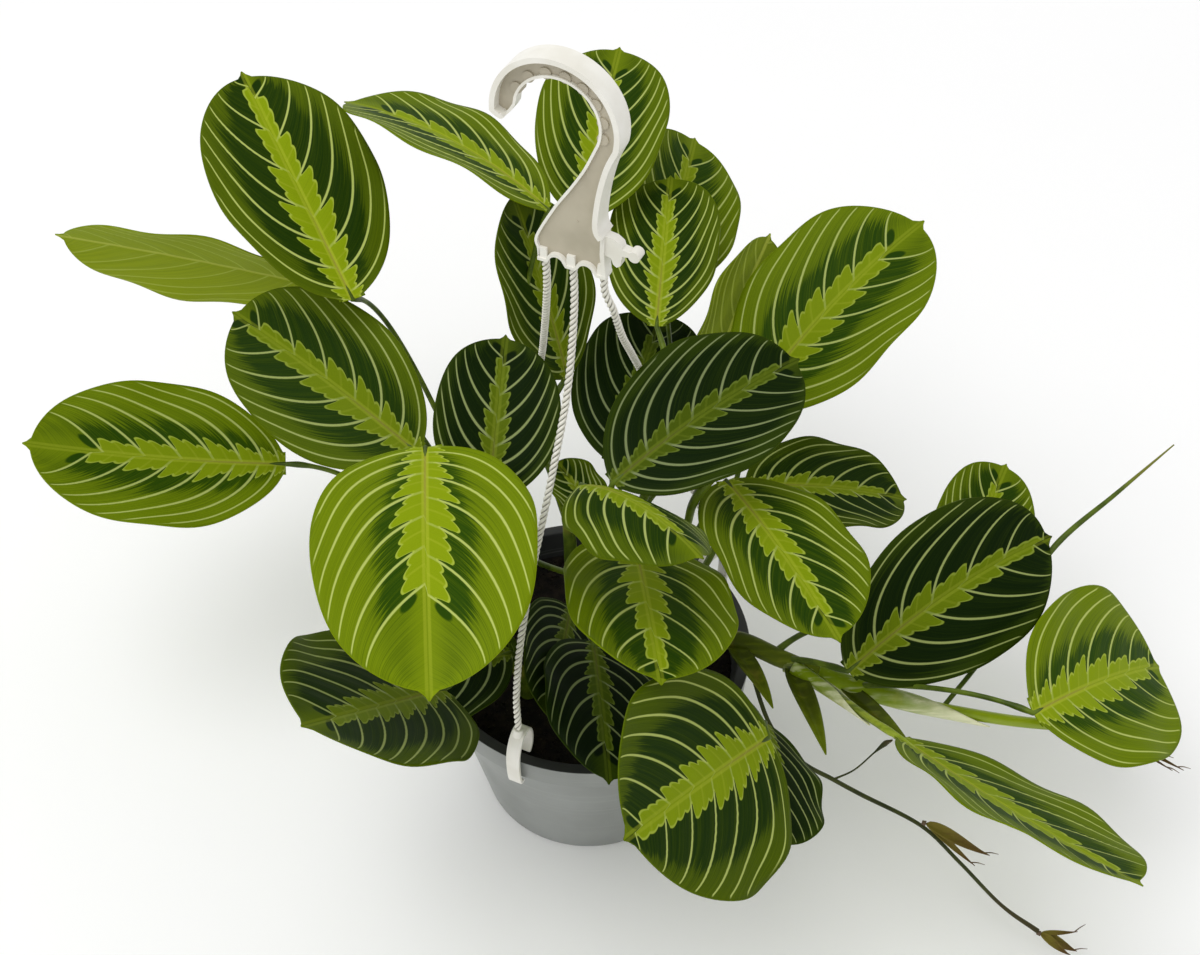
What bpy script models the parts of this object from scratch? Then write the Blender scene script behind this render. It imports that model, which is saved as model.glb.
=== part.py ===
"""Prayer plant (maranta) in a small hanging pot, standing on its base, with its hanger clipped on.

Sizes are written in millimetres and scaled by MM. The origin is the centre of the pot's flat base,
+Z is up, and -Y is the front. Every leafy stem is one solid: a stem in its hole in the soil, the
leaf stalks that branch from it, and the blades at their ends.
"""

import math

import bmesh
import bpy
from mathutils import Matrix, Vector

MM = 0.001
GAP = 0.3                      # clearance between touching pieces

# Pot: a thin tapered moulding with a wide lip and a skirt that hangs from the lip
POT_RIM_R = 70.0
POT_BASE_R = 47.0
POT_HEIGHT = 88.0
POT_WALL = 1.4
LIP_WIDTH = 4.8
LIP_THICK = 1.3
SKIRT_DROP = 11.0
SKIRT_THICK = 1.2
SKIRT_DRAFT = 0.8              # how far the skirt's lower edge comes in
BASE_THICK = 1.6
BASE_CHAMFER = 0.8
DRAIN_HOLES = 6
DRAIN_R = 4.0
DRAIN_CIRCLE_R = 29.0
POT_SEGMENTS = 40

# Soil
SOIL_TOP = 76.0
SOIL_BUMP = 1.1
SOIL_RINGS = 5
SOIL_SEGMENTS = 24
ROOT_DEPTH = 12.0
HOLE_SEGMENTS = 8

# Hanger hook, drawn in its own plane: x across, y up, then turned about the pot's axis
HOOK_TURN = -25.0
HOOK_DEPTH = 9.0
HOOK_WEB = 2.2
HOOK_RIM = 1.7
ARC_X, ARC_Z = -12.0, 351.0
ARC_OUTER = 24.0
ARC_INNER = 15.5
ARC_RIBS = 8
RIB_THICK = 1.2
SOCKET_Z = 291.0
SOCKET_HALF = 1.9
SOCKETS = {"left": -18.0, "middle": -7.0, "right": 5.0}

# Hanger strands and their clips on the lip
STRAND_R = 1.5
STRAND_STEP = 9.5
CLIP_WIDTH = 6.0
CLIP_THICK = 1.6
CLIP_BOSS_R = 2.3

# Leaves
BLADE_THICK = 0.7
BLADE_ROWS = 7
BLADE_COLUMNS = 6
EDGE_WAVE = 1.3
EDGE_WAVES = 2.5
STALK_R = 1.9
STALK_END_R = 1.2
STALK_SPACING = 26.0
STEM_R = 3.4
STEM_END_R = 2.7


# ---------------------------------------------------------------- scene, collections, materials

for old in list(bpy.data.objects):
    bpy.data.objects.remove(old)


def collection(name, hidden=False):
    made = bpy.data.collections.new(name)
    bpy.context.scene.collection.children.link(made)
    made.hide_render = hidden
    return made


PARTS = collection("potted_prayer_plant")
CUTTERS = collection("cutters", hidden=True)
PIECES = collection("pieces", hidden=True)


def material(name, colour, roughness):
    made = bpy.data.materials.new(name)
    made.use_nodes = True
    shader = made.node_tree.nodes["Principled BSDF"]
    shader.inputs["Base Color"].default_value = (*colour, 1.0)
    shader.inputs["Roughness"].default_value = roughness
    shader.inputs["Metallic"].default_value = 0.0
    return made


GREY_PLASTIC = material("pot_plastic", (0.26, 0.27, 0.25), 0.45)
WHITE_PLASTIC = material("hanger_plastic", (0.72, 0.70, 0.64), 0.4)
SOIL = material("soil", (0.02, 0.014, 0.01), 0.95)
LEAF = material("leaf", (0.12, 0.22, 0.02), 0.4)
DRY = material("dried_bract", (0.30, 0.15, 0.07), 0.8)


# ---------------------------------------------------------------- mesh helpers

def add_mesh(name, mesh, where, finish=None):
    made = bpy.data.objects.new(name, mesh)
    where.objects.link(made)
    if finish:
        mesh.materials.clear()
        mesh.materials.append(finish)
    if where is not PARTS:
        made.hide_render = True
        made.display_type = "WIRE"
    return made


def from_bmesh(name, shape, where, finish=None):
    mesh = bpy.data.meshes.new(name)
    shape.to_mesh(mesh)
    shape.free()
    return add_mesh(name, mesh, where, finish)


def as_mesh(source, where, finish=None):
    """The evaluated object as a plain mesh object in the same place; the source is removed."""
    bpy.context.view_layer.update()
    graph = bpy.context.evaluated_depsgraph_get()
    mesh = bpy.data.meshes.new_from_object(source.evaluated_get(graph))
    weld = bmesh.new()
    weld.from_mesh(mesh)
    bmesh.ops.remove_doubles(weld, verts=weld.verts, dist=0.01 * MM)
    bmesh.ops.recalc_face_normals(weld, faces=weld.faces)
    weld.to_mesh(mesh)
    weld.free()
    name = source.name
    place = source.matrix_world.copy()
    bpy.data.objects.remove(source)
    made = add_mesh(name, mesh, where, finish)
    made.matrix_world = place
    return made


def boolean(target, operation, pieces):
    """Joins or cuts the target with a list of objects, applies it and removes them."""
    group = collection(f"{target.name}_{operation.lower()}", hidden=True)
    for piece in pieces:
        for home in list(piece.users_collection):
            home.objects.unlink(piece)
        group.objects.link(piece)
    step = target.modifiers.new(operation, "BOOLEAN")
    step.operation = operation
    step.operand_type = "COLLECTION"
    step.collection = group
    step.solver = "EXACT"
    home = target.users_collection[0]
    finish = target.data.materials[0] if target.data.materials else None
    made = as_mesh(target, home, finish)
    for piece in pieces:
        bpy.data.objects.remove(piece)
    bpy.data.collections.remove(group)
    return made


def smooth_route(points, spacing):
    """Points about `spacing` apart on a Catmull-Rom curve through the given ones."""
    knots = [Vector(p) for p in points]
    knots = [2 * knots[0] - knots[1], *knots, 2 * knots[-1] - knots[-2]]
    route = []
    for a, b, c, d in zip(knots, knots[1:], knots[2:], knots[3:]):
        count = max(1, round((c - b).length / spacing))
        for i in range(count):
            t = i / count
            route.append(0.5 * (2 * b + (c - a) * t + (2 * a - 5 * b + 4 * c - d) * t**2
                                + (3 * b - a - 3 * c + d) * t**3))
    return [*route, knots[-2]]


def tube(name, points, radii, where, sides=6, finish=None):
    """A solid tube through the points, with one radius for each point."""
    curve = bpy.data.curves.new(name, "CURVE")
    curve.dimensions = "3D"
    curve.bevel_depth = MM
    curve.bevel_resolution = sides // 2 - 2
    curve.use_fill_caps = True
    spline = curve.splines.new("POLY")
    spline.points.add(len(points) - 1)
    for knot, place, radius in zip(spline.points, points, radii):
        knot.co = (*(MM * Vector(place)), 1.0)
        knot.radius = radius
    made = bpy.data.objects.new(name, curve)
    where.objects.link(made)
    return as_mesh(made, where, finish)


def plate(name, outline, half_depth, where, finish=None):
    """A flat closed outline (x, y) in millimetres, made half_depth thick to each side."""
    curve = bpy.data.curves.new(name, "CURVE")
    curve.dimensions = "2D"
    curve.fill_mode = "BOTH"
    curve.extrude = half_depth * MM
    spline = curve.splines.new("POLY")
    spline.points.add(len(outline) - 1)
    spline.use_cyclic_u = True
    for knot, (x, y) in zip(spline.points, outline):
        knot.co = (x * MM, y * MM, 0.0, 1.0)
    made = bpy.data.objects.new(name, curve)
    where.objects.link(made)
    return as_mesh(made, where, finish)


def cylinder(name, x, y, z_low, z_high, radius, sides, where):
    shape = bmesh.new()
    bmesh.ops.create_cone(shape, cap_ends=True, segments=sides, radius1=radius * MM,
                          radius2=radius * MM, depth=(z_high - z_low) * MM,
                          matrix=Matrix.Translation(MM * Vector((x, y, (z_low + z_high) / 2))))
    return from_bmesh(name, shape, where)


def arc(cx, cy, radius, start, end, steps):
    """Points on a circle from one angle to another, in degrees."""
    angles = [math.radians(start + (end - start) * i / steps) for i in range(steps + 1)]
    return [(cx + radius * math.cos(a), cy + radius * math.sin(a)) for a in angles]


# ---------------------------------------------------------------- pot and soil

def wall_radius(z):
    """Outer radius of the tapered wall under the lip."""
    top = POT_RIM_R - LIP_WIDTH + POT_WALL
    return POT_BASE_R + (top - POT_BASE_R) * z / POT_HEIGHT


def make_pot():
    lip_low = POT_HEIGHT - LIP_THICK
    skirt_low = POT_HEIGHT - SKIRT_DROP
    chamfer = 0.4
    profile = [
        (POT_RIM_R - LIP_WIDTH, POT_HEIGHT),
        (POT_RIM_R - chamfer, POT_HEIGHT),
        (POT_RIM_R, POT_HEIGHT - chamfer),
        (POT_RIM_R - SKIRT_DRAFT, skirt_low),
        (POT_RIM_R - SKIRT_DRAFT - SKIRT_THICK, skirt_low),
        (POT_RIM_R - SKIRT_THICK, lip_low),
        (wall_radius(lip_low), lip_low),
        (wall_radius(BASE_CHAMFER), BASE_CHAMFER),
        (POT_BASE_R - BASE_CHAMFER, 0.0),
        (0.0, 0.0),
        (0.0, BASE_THICK),
        (wall_radius(BASE_THICK) - POT_WALL, BASE_THICK),
    ]
    # a closed loop but for the edge on the axis, which would turn into nothing
    shape = bmesh.new()
    corners = [shape.verts.new((r * MM, 0.0, z * MM)) for r, z in profile]
    for a, b in zip(corners, [*corners[1:], corners[0]]):
        if a.co.x > 0 or b.co.x > 0:
            shape.edges.new((a, b))
    pot = from_bmesh("pot", shape, PARTS, GREY_PLASTIC)
    screw = pot.modifiers.new("turn", "SCREW")
    screw.steps = screw.render_steps = POT_SEGMENTS
    screw.use_merge_vertices = True
    screw.merge_threshold = 0.00001
    pot = as_mesh(pot, PARTS, GREY_PLASTIC)
    holes = []
    for i in range(DRAIN_HOLES):
        angle = math.tau * i / DRAIN_HOLES
        holes.append(cylinder("drain", DRAIN_CIRCLE_R * math.cos(angle),
                              DRAIN_CIRCLE_R * math.sin(angle), -2.0, BASE_THICK + 2.0,
                              DRAIN_R, 12, CUTTERS))
    return boolean(pot, "DIFFERENCE", holes)


def make_soil(roots):
    """The pot's fill, with an uneven top and a plain hole for each stem."""
    low = BASE_THICK + GAP
    shape = bmesh.new()
    rings = []
    for ring in range(1, SOIL_RINGS + 1):
        share = ring / SOIL_RINGS
        radius = share * (wall_radius(SOIL_TOP) - POT_WALL - GAP)
        loop = []
        for i in range(SOIL_SEGMENTS):
            angle = math.tau * i / SOIL_SEGMENTS
            bump = math.sin(5 * angle + 2 * ring) + math.sin(3 * angle - 4 * ring)
            height = SOIL_TOP + 0.5 * SOIL_BUMP * bump * min(1.0, 4 * (1 - share) + 0.2)
            loop.append(shape.verts.new((MM * radius * math.cos(angle),
                                         MM * radius * math.sin(angle), MM * height)))
        rings.append(loop)
    foot_r = wall_radius(low) - POT_WALL - GAP
    foot = [shape.verts.new((MM * foot_r * math.cos(math.tau * i / SOIL_SEGMENTS),
                             MM * foot_r * math.sin(math.tau * i / SOIL_SEGMENTS), MM * low))
            for i in range(SOIL_SEGMENTS)]
    rings.append(foot)
    middle = shape.verts.new((0.0, 0.0, MM * SOIL_TOP))
    for i in range(SOIL_SEGMENTS):
        j = (i + 1) % SOIL_SEGMENTS
        shape.faces.new((middle, rings[0][i], rings[0][j]))
        for inner, outer in zip(rings, rings[1:]):
            shape.faces.new((inner[i], outer[i], outer[j], inner[j]))
    shape.faces.new(list(reversed(foot)))
    bmesh.ops.triangulate(shape, faces=shape.faces[:])
    soil = from_bmesh("soil", shape, PARTS, SOIL)
    apothem = math.cos(math.pi / HOLE_SEGMENTS)
    holes = [cylinder("stem_hole", x, y, SOIL_TOP - ROOT_DEPTH - GAP, SOIL_TOP + 8,
                      (radius + GAP) / apothem, HOLE_SEGMENTS, CUTTERS)
             for x, y, radius in roots]
    return boolean(soil, "DIFFERENCE", holes)


# ---------------------------------------------------------------- hanger

def in_hook_plane(x, z, depth=0.0):
    """A point of the hook's own plane, in millimetres."""
    turn = math.radians(HOOK_TURN)
    return (x * math.cos(turn) - depth * math.sin(turn),
            x * math.sin(turn) + depth * math.cos(turn), z)


def stand_up(piece, turn, depth=0.0):
    """Turns a plate drawn in XY so that its y points up, about the pot's axis."""
    lift = Matrix.Rotation(math.radians(90), 4, "X")
    piece.matrix_world = (Matrix.Rotation(math.radians(turn), 4, "Z")
                          @ Matrix.Translation((0.0, depth * MM, 0.0)) @ lift)
    return piece


def hook_outline():
    top = arc(ARC_X, ARC_Z, ARC_OUTER, -12, 184, 14)
    tip = [(-34.6, 348.2), (-31.8, 347.2), (-29.4, 349.2)]
    throat = arc(ARC_X, ARC_Z, ARC_INNER, 168, -26, 11)
    left = [(-2.5, 334.1), (-8.2, 324.2), (-14.0, 314.8), (-20.8, 300.9), (-20.2, 295.5)]
    bottom = [(SOCKETS["left"] - SOCKET_HALF, SOCKET_Z), (SOCKETS["left"] + SOCKET_HALF, SOCKET_Z),
              (-14.8, 293.6), (-12.4, 294.4), (-10.4, 293.4),
              (SOCKETS["middle"] - SOCKET_HALF, SOCKET_Z),
              (SOCKETS["middle"] + SOCKET_HALF, SOCKET_Z),
              (-3.4, 293.6), (-0.8, 294.4), (1.6, 293.4),
              (SOCKETS["right"] - SOCKET_HALF, SOCKET_Z), (SOCKETS["right"] + SOCKET_HALF, SOCKET_Z)]
    spur = [(6.0, 301.4), (8.4, 300.6), (9.2, 298.2), (10.6, 297.2), (12.0, 298.2), (12.6, 302.6),
            (15.0, 303.0), *arc(17.2, 304.0, 2.0, -150, 150, 6), (15.0, 305.2), (12.6, 305.6),
            (12.0, 307.4), (9.6, 309.0), (6.2, 309.6)]
    right = [(4.6, 312.0), (4.4, 317.0), (5.7, 327.4), (8.2, 338.0)]
    return top + tip + throat + left + bottom + spur + right


def hook_pockets():
    """Outlines of the recesses in each face: ribbed cells along the arc, and the long shield."""
    cells = []
    first, last = 160.0, -14.0
    width = (first - last) / ARC_RIBS
    outer, inner = ARC_OUTER - HOOK_RIM, ARC_INNER + HOOK_RIM
    for i in range(ARC_RIBS):
        start, end = first - i * width, first - (i + 1) * width
        skip = math.degrees(RIB_THICK / 2 / (outer + inner) * 2)
        cells.append(arc(ARC_X, ARC_Z, outer, start - skip, end + skip, 2)
                     + arc(ARC_X, ARC_Z, inner, end + skip, start - skip, 1))
    tip = (arc(ARC_X, ARC_Z, outer, 182, 163, 2)
           + arc(ARC_X, ARC_Z, inner, 163, 170, 1) + [(-31.6, 349.6)])
    shield = [(8.6, 343.0), (4.6, 343.2), (-0.8, 333.6), (-6.6, 323.6), (-12.4, 314.2),
              (-18.9, 300.8), (-18.4, 296.4), (-12.4, 296.2), (-7.0, 294.6), (-0.8, 296.2),
              (3.4, 295.0), (2.6, 316.8), (4.0, 327.6), (6.5, 338.4)]
    return [*cells, tip, shield]


def make_hook():
    hook = stand_up(plate("hanger_hook", hook_outline(), HOOK_DEPTH / 2, PARTS, WHITE_PLASTIC),
                    HOOK_TURN)
    depth = (HOOK_DEPTH - HOOK_WEB) / 2
    cutters = []
    for outline in hook_pockets():
        for side in (-1, 1):
            cutter = plate("pocket", outline, depth / 2 + 1.0, CUTTERS)
            cutters.append(stand_up(cutter, HOOK_TURN,
                                    side * (HOOK_WEB / 2 + depth / 2 + 1.0)))
    return boolean(hook, "DIFFERENCE", cutters)


# The C-shaped strap of a clip, from the catch under the skirt, over the lip, to its inner foot
CLIP_LINE = [(69.4, 75.8), (71.4, 76.4), (72.4, 80.0), (73.1, 87.0), (73.0, 93.5), (71.4, 99.2),
             (68.2, 103.2), (64.6, 103.6), (61.8, 100.6), (60.8, 95.6), (61.4, 90.6), (63.6, 87.6)]
CLIP_TOP = 6                  # the point of that line where the strand comes in
CLIP_TURNS = {"front": 246.0, "right": 35.0, "back": 125.0}


def clip_boss(turn):
    """Foot and top of the small boss that takes the strand, in millimetres."""
    r, z = CLIP_LINE[CLIP_TOP]
    turn = math.radians(turn)
    out = Vector((math.cos(turn), math.sin(turn), 0.0))
    return r * out + Vector((0, 0, z)), (r - 0.6) * out + Vector((0, 0, z + 3.6))


def make_clip(name, turn):
    """A strap round the lip. It is drawn as an outline about its middle line."""
    line = [Vector(p) for p in CLIP_LINE]
    sides = []
    for before, here, after in zip([line[0], *line], line, [*line[1:], line[-1]]):
        along = (after - before).normalized()
        sides.append((here, Vector((-along.y, along.x)) * CLIP_THICK / 2))
    outline = ([tuple(p + n) for p, n in sides] + [tuple(p - n) for p, n in reversed(sides)])
    clip = stand_up(plate(name, outline, CLIP_WIDTH / 2, PARTS, WHITE_PLASTIC), turn)
    foot, head = clip_boss(turn)
    boss = tube("boss", [foot, head], [CLIP_BOSS_R, CLIP_BOSS_R - 0.3], PIECES, sides=10)
    return boolean(clip, "UNION", [boss])


def strand_end(turn):
    """Where a strand stops on its clip."""
    foot, head = clip_boss(turn)
    return head + GAP * (head - foot).normalized()


def strand_start(socket):
    x, y, z = in_hook_plane(SOCKETS[socket], SOCKET_Z - GAP)
    return Vector((x, y, z))


# Middle points of the strands: stiff cords that bow outwards round the leaves
STRAND_ROUTES = {
    "front": ("middle", [(-6, 2, 275), (-7, -1, 254), (-9, -7, 235), (-13, -17, 214),
                         (-17.5, -28, 193), (-21, -37, 178), (-26, -51, 149), (-28, -58, 124)]),
    "right": ("right", [(5, -2, 283), (8, -1, 274), (11.5, 6, 256), (15, 18, 238), (19, 31, 218),
                        (26, 37, 195), (36, 39, 165), (46, 39, 136)]),
    "back": ("left", [(-16, 9.5, 280), (-16.5, 15, 265), (-18, 28, 240), (-20, 42, 214),
                      (-24, 50, 185), (-30, 54, 152), (-36, 56, 125)]),
}


def make_strand(name, end, route):
    socket, middle = route
    points = smooth_route([strand_start(socket), *middle, strand_end(CLIP_TURNS[end])],
                          STRAND_STEP)
    return tube(name, points, [STRAND_R] * len(points), PARTS, sides=8, finish=WHITE_PLASTIC)


# ---------------------------------------------------------------- leaves

def frame_at(heading, pitch, roll):
    """Unit vectors along a blade, to its right-hand side and out of its upper face."""
    h, p, r = (math.radians(a) for a in (heading, pitch, roll))
    ahead = Vector((math.cos(h), math.sin(h), 0.0))
    up = Vector((0.0, 0.0, 1.0))
    right = Vector((math.sin(h), -math.cos(h), 0.0))
    along = math.cos(p) * ahead + math.sin(p) * up
    normal = math.cos(p) * up - math.sin(p) * ahead
    return (along, math.cos(r) * right - math.sin(r) * normal,
            math.cos(r) * normal + math.sin(r) * right)


def half_width(v):
    """Share of the greatest half width at a share v of the blade's length."""
    return max(0.0, 1.0 - abs(2.0 * v**1.08 - 1.0) ** 2.25) ** 0.56


def midrib(leaf, steps=40):
    """Points along a blade's midrib, which droops by an even amount along its length."""
    base, heading, pitch, roll, length, _, droop, _ = leaf
    places = [Vector(base)]
    for i in range(steps):
        along, _, _ = frame_at(heading, pitch - droop * (i + 0.5) / steps, roll)
        places.append(places[-1] + along * length / steps)
    return places


def blade(leaf, phase, where, outline=half_width, columns=BLADE_COLUMNS, rows=BLADE_ROWS):
    """A thin leaf blade: a grid laid along the midrib, folded at it and waved at its edges."""
    base, heading, pitch, roll, length, width, droop, fold = leaf
    spine = midrib(leaf)
    rise = math.radians(fold)
    shape = bmesh.new()
    grid = []
    for i in range(rows + 1):
        v = 0.5 - 0.5 * math.cos(math.pi * i / rows)
        place = v * (len(spine) - 1)
        low = min(int(place), len(spine) - 2)
        centre = spine[low].lerp(spine[low + 1], place - low)
        _, side, normal = frame_at(heading, pitch - droop * v, roll)
        if i in (0, rows):
            grid.append([shape.verts.new(MM * centre)] * (columns + 1))
            continue
        half = width / 2 * outline(v)
        line = []
        for j in range(columns + 1):
            u = 2.0 * j / columns - 1.0
            wave = EDGE_WAVE * abs(u) ** 3 * math.sin(math.tau * EDGE_WAVES * v + phase + 2 * u)
            lift = half * abs(u) ** 1.5 * math.sin(rise) + wave * half * 2 / width
            line.append(shape.verts.new(MM * (centre + half * u * math.cos(rise) * side
                                              + lift * normal)))
        grid.append(line)
    for low, high in zip(grid, grid[1:]):
        for j in range(columns):
            corners = (low[j], low[j + 1], high[j + 1], high[j])
            if low is grid[0]:
                shape.faces.new((low[0], high[j + 1], high[j]))
            elif high is grid[-1]:
                shape.faces.new((low[j], low[j + 1], high[0]))
            elif j < columns // 2:
                shape.faces.new(corners[:3])
                shape.faces.new((corners[0], corners[2], corners[3]))
            else:
                shape.faces.new((corners[0], corners[1], corners[3]))
                shape.faces.new(corners[1:])
    made = from_bmesh("blade", shape, where)
    thick = made.modifiers.new("thickness", "SOLIDIFY")
    thick.thickness = BLADE_THICK * MM
    thick.offset = 0.0
    thick.use_even_offset = False
    return as_mesh(made, where)


def bezier(a, b, c, d, count):
    """Points on the curve from a to d with the handles b and c."""
    a, b, c, d = (Vector(p) for p in (a, b, c, d))
    places = []
    for i in range(count):
        t = i / (count - 1)
        places.append((1 - t) ** 3 * a + 3 * (1 - t) ** 2 * t * b + 3 * (1 - t) * t**2 * c
                      + t**3 * d)
    return places


def leaf_stalk(start, handles, leaf, where, radius=STALK_R):
    """The stalk from the stem to the blade, running on a little way inside the midrib."""
    spine = midrib(leaf)
    count = max(4, 2 + round((Vector(leaf[0]) - Vector(start)).length / STALK_SPACING))
    route = bezier(start, *handles, leaf[0], count)
    inside = [spine[3], spine[6]]
    _, _, normal = frame_at(leaf[1], leaf[2], leaf[3])
    route += [p - 0.3 * normal for p in inside]
    taper = [radius + (STALK_END_R - radius) * i / (count - 1) for i in range(count)]
    return tube("stalk", route, [*taper, STALK_END_R * 0.9, STALK_END_R * 0.45], where)


def leafy_stem(name, root, top, leaves):
    """One stem with its leaf stalks and blades, joined in one solid."""
    x, y = root
    low = SOIL_TOP - ROOT_DEPTH
    halfway = ((x + top[0]) / 2, (y + top[1]) / 2, (SOIL_TOP + top[2]) / 2 + 2)
    route = [(x, y, low), (x, y, SOIL_TOP + 2), halfway, top]
    stem = tube(name, route, [STEM_R, STEM_R, (STEM_R + STEM_END_R) / 2, STEM_END_R], PARTS,
                finish=LEAF)
    pieces = []
    for number, (handles, leaf) in enumerate(leaves):
        start = Vector(route[2]).lerp(Vector(top), 0.7)
        pieces.append(leaf_stalk(start, handles, leaf, PIECES))
        pieces.append(blade(leaf, 1.7 * number + 0.1 * leaf[1], PIECES))
    if name in ROLLED_LEAVES:
        pieces.append(tube("rolled_leaf", *ROLLED_LEAVES[name], PIECES))
    return boolean(stem, "UNION", pieces)


# Rolled young leaves: points along each one and its radius there
ROLLED_LEAVES = {
    "leafy_stem_front_right": ([(31, 7, 106), (36, 2, 140), (39, -5, 166), (41, -10, 186),
                                (50, -3, 197), (58, 2, 205)], [1.8, 1.7, 1.6, 1.8, 2.6, 0.4]),
    "trailing_stem": ([(150, -30, 82), (170, -8, 92), (188, 16, 106), (204, 34, 118),
                       (226, 43, 139), (248, 52, 160)], [1.2, 1.3, 1.4, 1.8, 1.7, 0.4]),
}

# Each row: root in the soil (x, y); top of the stem; then for each leaf the two handles of its
# stalk's curve and the blade: (base, heading, pitch, roll, length, width, droop, fold)
LEAFY_STEMS = {
    "leafy_stem_back_left": ((-30, 25), (-38, 34, 108), [
        (((-60, 76, 120), (-92, 112, 184)), ((-100, 78, 212), 120, 25, 5, 114, 72, 0, 8)),
        (((-68, 66, 130), (-95, 98, 155)), ((-121, 130, 177), 185, 20, -120, 114, 74, 5, 8)),
    ]),
    "leafy_stem_left": ((-40, 4), (-47, 8, 104), [
        (((-55, 18, 124), (-64, 27, 144)), ((-72, 37, 164), 145, 20, -36, 102, 66, 10, 8)),
        (((-73, 36, 117), (-98, 64, 131)), ((-135, 64, 130), 190, 10, -20, 108, 70, -10, 8)),
    ]),
    "leafy_stem_front_left": ((-26, -20), (-30, -23, 98), [
        (((-46, -4, 135), (-62, 7, 173)), ((-63, -6, 209), 275, 15, 0, 116, 82, 35, 8)),
        (((-29, -11, 132), (-49, -53, 129)), ((-56, -63, 133), 240, 40, -15, 100, 74, 0, 8)),
        (((-33, -24, 104), (-30, -26, 108)), ((-32, -27, 112), 205, 10, -5, 80, 60, 15, 8)),
    ]),
    "leafy_stem_back": ((-8, 44), (-10, 52, 112), [
        (((-23, 68, 136), (-25, 71, 150)), ((-11, 86, 164), 130, 70, 15, 84, 56, 10, 8)),
        (((-21, 67, 149), (-46, 75, 163)), ((-19, 106, 239), 155, 35, 20, 98, 64, 40, 8)),
        (((-33, 87, 148), (-18, 115, 177)), ((-5, 144, 206), 80, 30, 5, 94, 60, 20, 8)),
    ]),
    "leafy_stem_back_right": ((16, 42), (20, 54, 112), [
        (((37, 61, 158), (39, 70, 148)), ((32, 140, 171), 80, 25, 30, 92, 60, 25, 8)),
        (((20, 55, 126), (45, 60, 156)), ((28, 103, 179), 85, 25, -5, 80, 52, 15, 8)),
        (((35, 73, 124), (53, 81, 126)), ((51, 97, 146), 55, 60, 75, 74, 50, 15, 8)),
    ]),
    "leafy_stem_right": ((42, 18), (47, 24, 104), [
        (((59, 34, 120), (66, 56, 142)), ((69, 73, 161), 35, 50, 5, 106, 76, 30, 8)),
        (((56, 28, 118), (60, 38, 130)), ((67, 48, 136), 10, -5, 5, 76, 52, 20, 8)),
    ]),
    "leafy_stem_middle": ((0, 20), (0, 20, 110), [
        (((-19, 12, 122), (-40, -10, 155)), ((-39, -14, 188), 85, 40, 10, 66, 50, 15, 8)),
        (((5, 34, 119), (11, 48, 128)), ((9, 61, 137), 75, 15, 5, 90, 58, 15, 8)),
        (((1, 5, 139), (2, -10, 169)), ((9, -13, 198), 35, 25, 15, 90, 60, 25, 8)),
        (((0, 6, 128), (1, 0, 150)), ((4, -8, 170), 140, 46, 0, 30, 24, 10, 8)),
    ]),
    "leafy_stem_front": ((10, -6), (10, -8, 106), [
        (((5, -12, 140), (0, -18, 175)), ((-3, -25, 209), 305, 40, -15, 78, 50, 40, -28)),
        (((13, -10, 127), (15, -13, 147)), ((18, -15, 166), 275, 25, -10, 96, 66, 15, 8)),
    ]),
    "leafy_stem_front_right": ((27, 6), (31, 7, 108), [
        (((41, 13, 131), (49, 20, 152)), ((55, 13, 174), 295, 10, -5, 90, 58, 20, 8)),
    ]),
    "leafy_stem_low": ((-10, 6), (-10, 6, 92), [
        (((-10, 7, 97), (-9, 9, 101)), ((-8, 5, 103), 265, 20, -40, 70, 46, 20, 8)),
        (((13, 2, 100), (2, -4, 106)), ((2, -16, 106), 275, 20, -20, 78, 52, 25, 8)),
    ]),
    "leafy_stem_rim": ((30, -32), (36, -38, 94), [
        (((46, -49, 108), (58, -44, 132)), ((70, -82, 130), 235, 30, -40, 108, 84, 5, 8)),
        (((48, -44, 98), (60, -50, 101)), ((72, -56, 105), 270, 30, -40, 72, 48, 30, 8)),
    ]),
}

# The trailing stem leans over the lip and carries its own leaves, a rolled young leaf and sheaths
TRAIL_ROOT = (40, -4)
TRAIL = [(45, -6, 92), (62, -12, 104), (82, -20, 101), (102, -25, 95), (131, -30, 88),
         (153, -30, 81), (184, -31, 75), (218, -30, 70)]
TRAIL_R = (3.8, 2.3)
# for each leaf: where its stalk starts, how thick it is there, then as in the table above
TRAIL_LEAVES = [
    ((82, -20, 101), 2.2, ((92, -24, 107), (99, -29, 109)),
     ((107, -33, 110), 35, 25, 40, 112, 66, 35, 8)),
    ((78, -18, 102), 1.9, ((96, -2, 112), (130, 10, 92)),
     ((160, 20, 101), 65, 25, 15, 66, 44, 15, 8)),
    ((112, -27, 93), 1.7, ((132, -34, 104), (158, -46, 116)),
     ((178, -58, 116), 40, -15, 30, 104, 80, 20, 8)),
    ((84, -21, 100), 4.2, ((98, -32, 100), (112, -46, 98)),
     ((127, -60, 101), 310, 10, -35, 114, 70, -10, 8)),
]
SHEATHS = [((60, -14, 103), 300, 5, 0, 34, 9, 30, 25), ((84, -22, 100), 290, -5, 0, 42, 10, 20, 25),
           ((106, -27, 94), 315, -10, 0, 44, 9, 5, 25)]
FLOWER_STALK = [(66, -14, 101), (76, -40, 84), (88, -56, 80), (102, -62, 75), (114, -66, 70),
                (139, -74, 60), (155, -85, 50), (174, -94, 32), (190, -100, 22)]
FLOWER_STALK_R = 0.9
# a thin withered branch of that stalk, curling up to a scrap of bract
TENDRIL = [(102, -62, 75), (110, -62, 82), (118, -57, 87), (122, -56, 92), (124, -58, 97)]
TENDRIL_R = [0.7, 0.6, 0.6, 1.4, 0.5]
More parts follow.
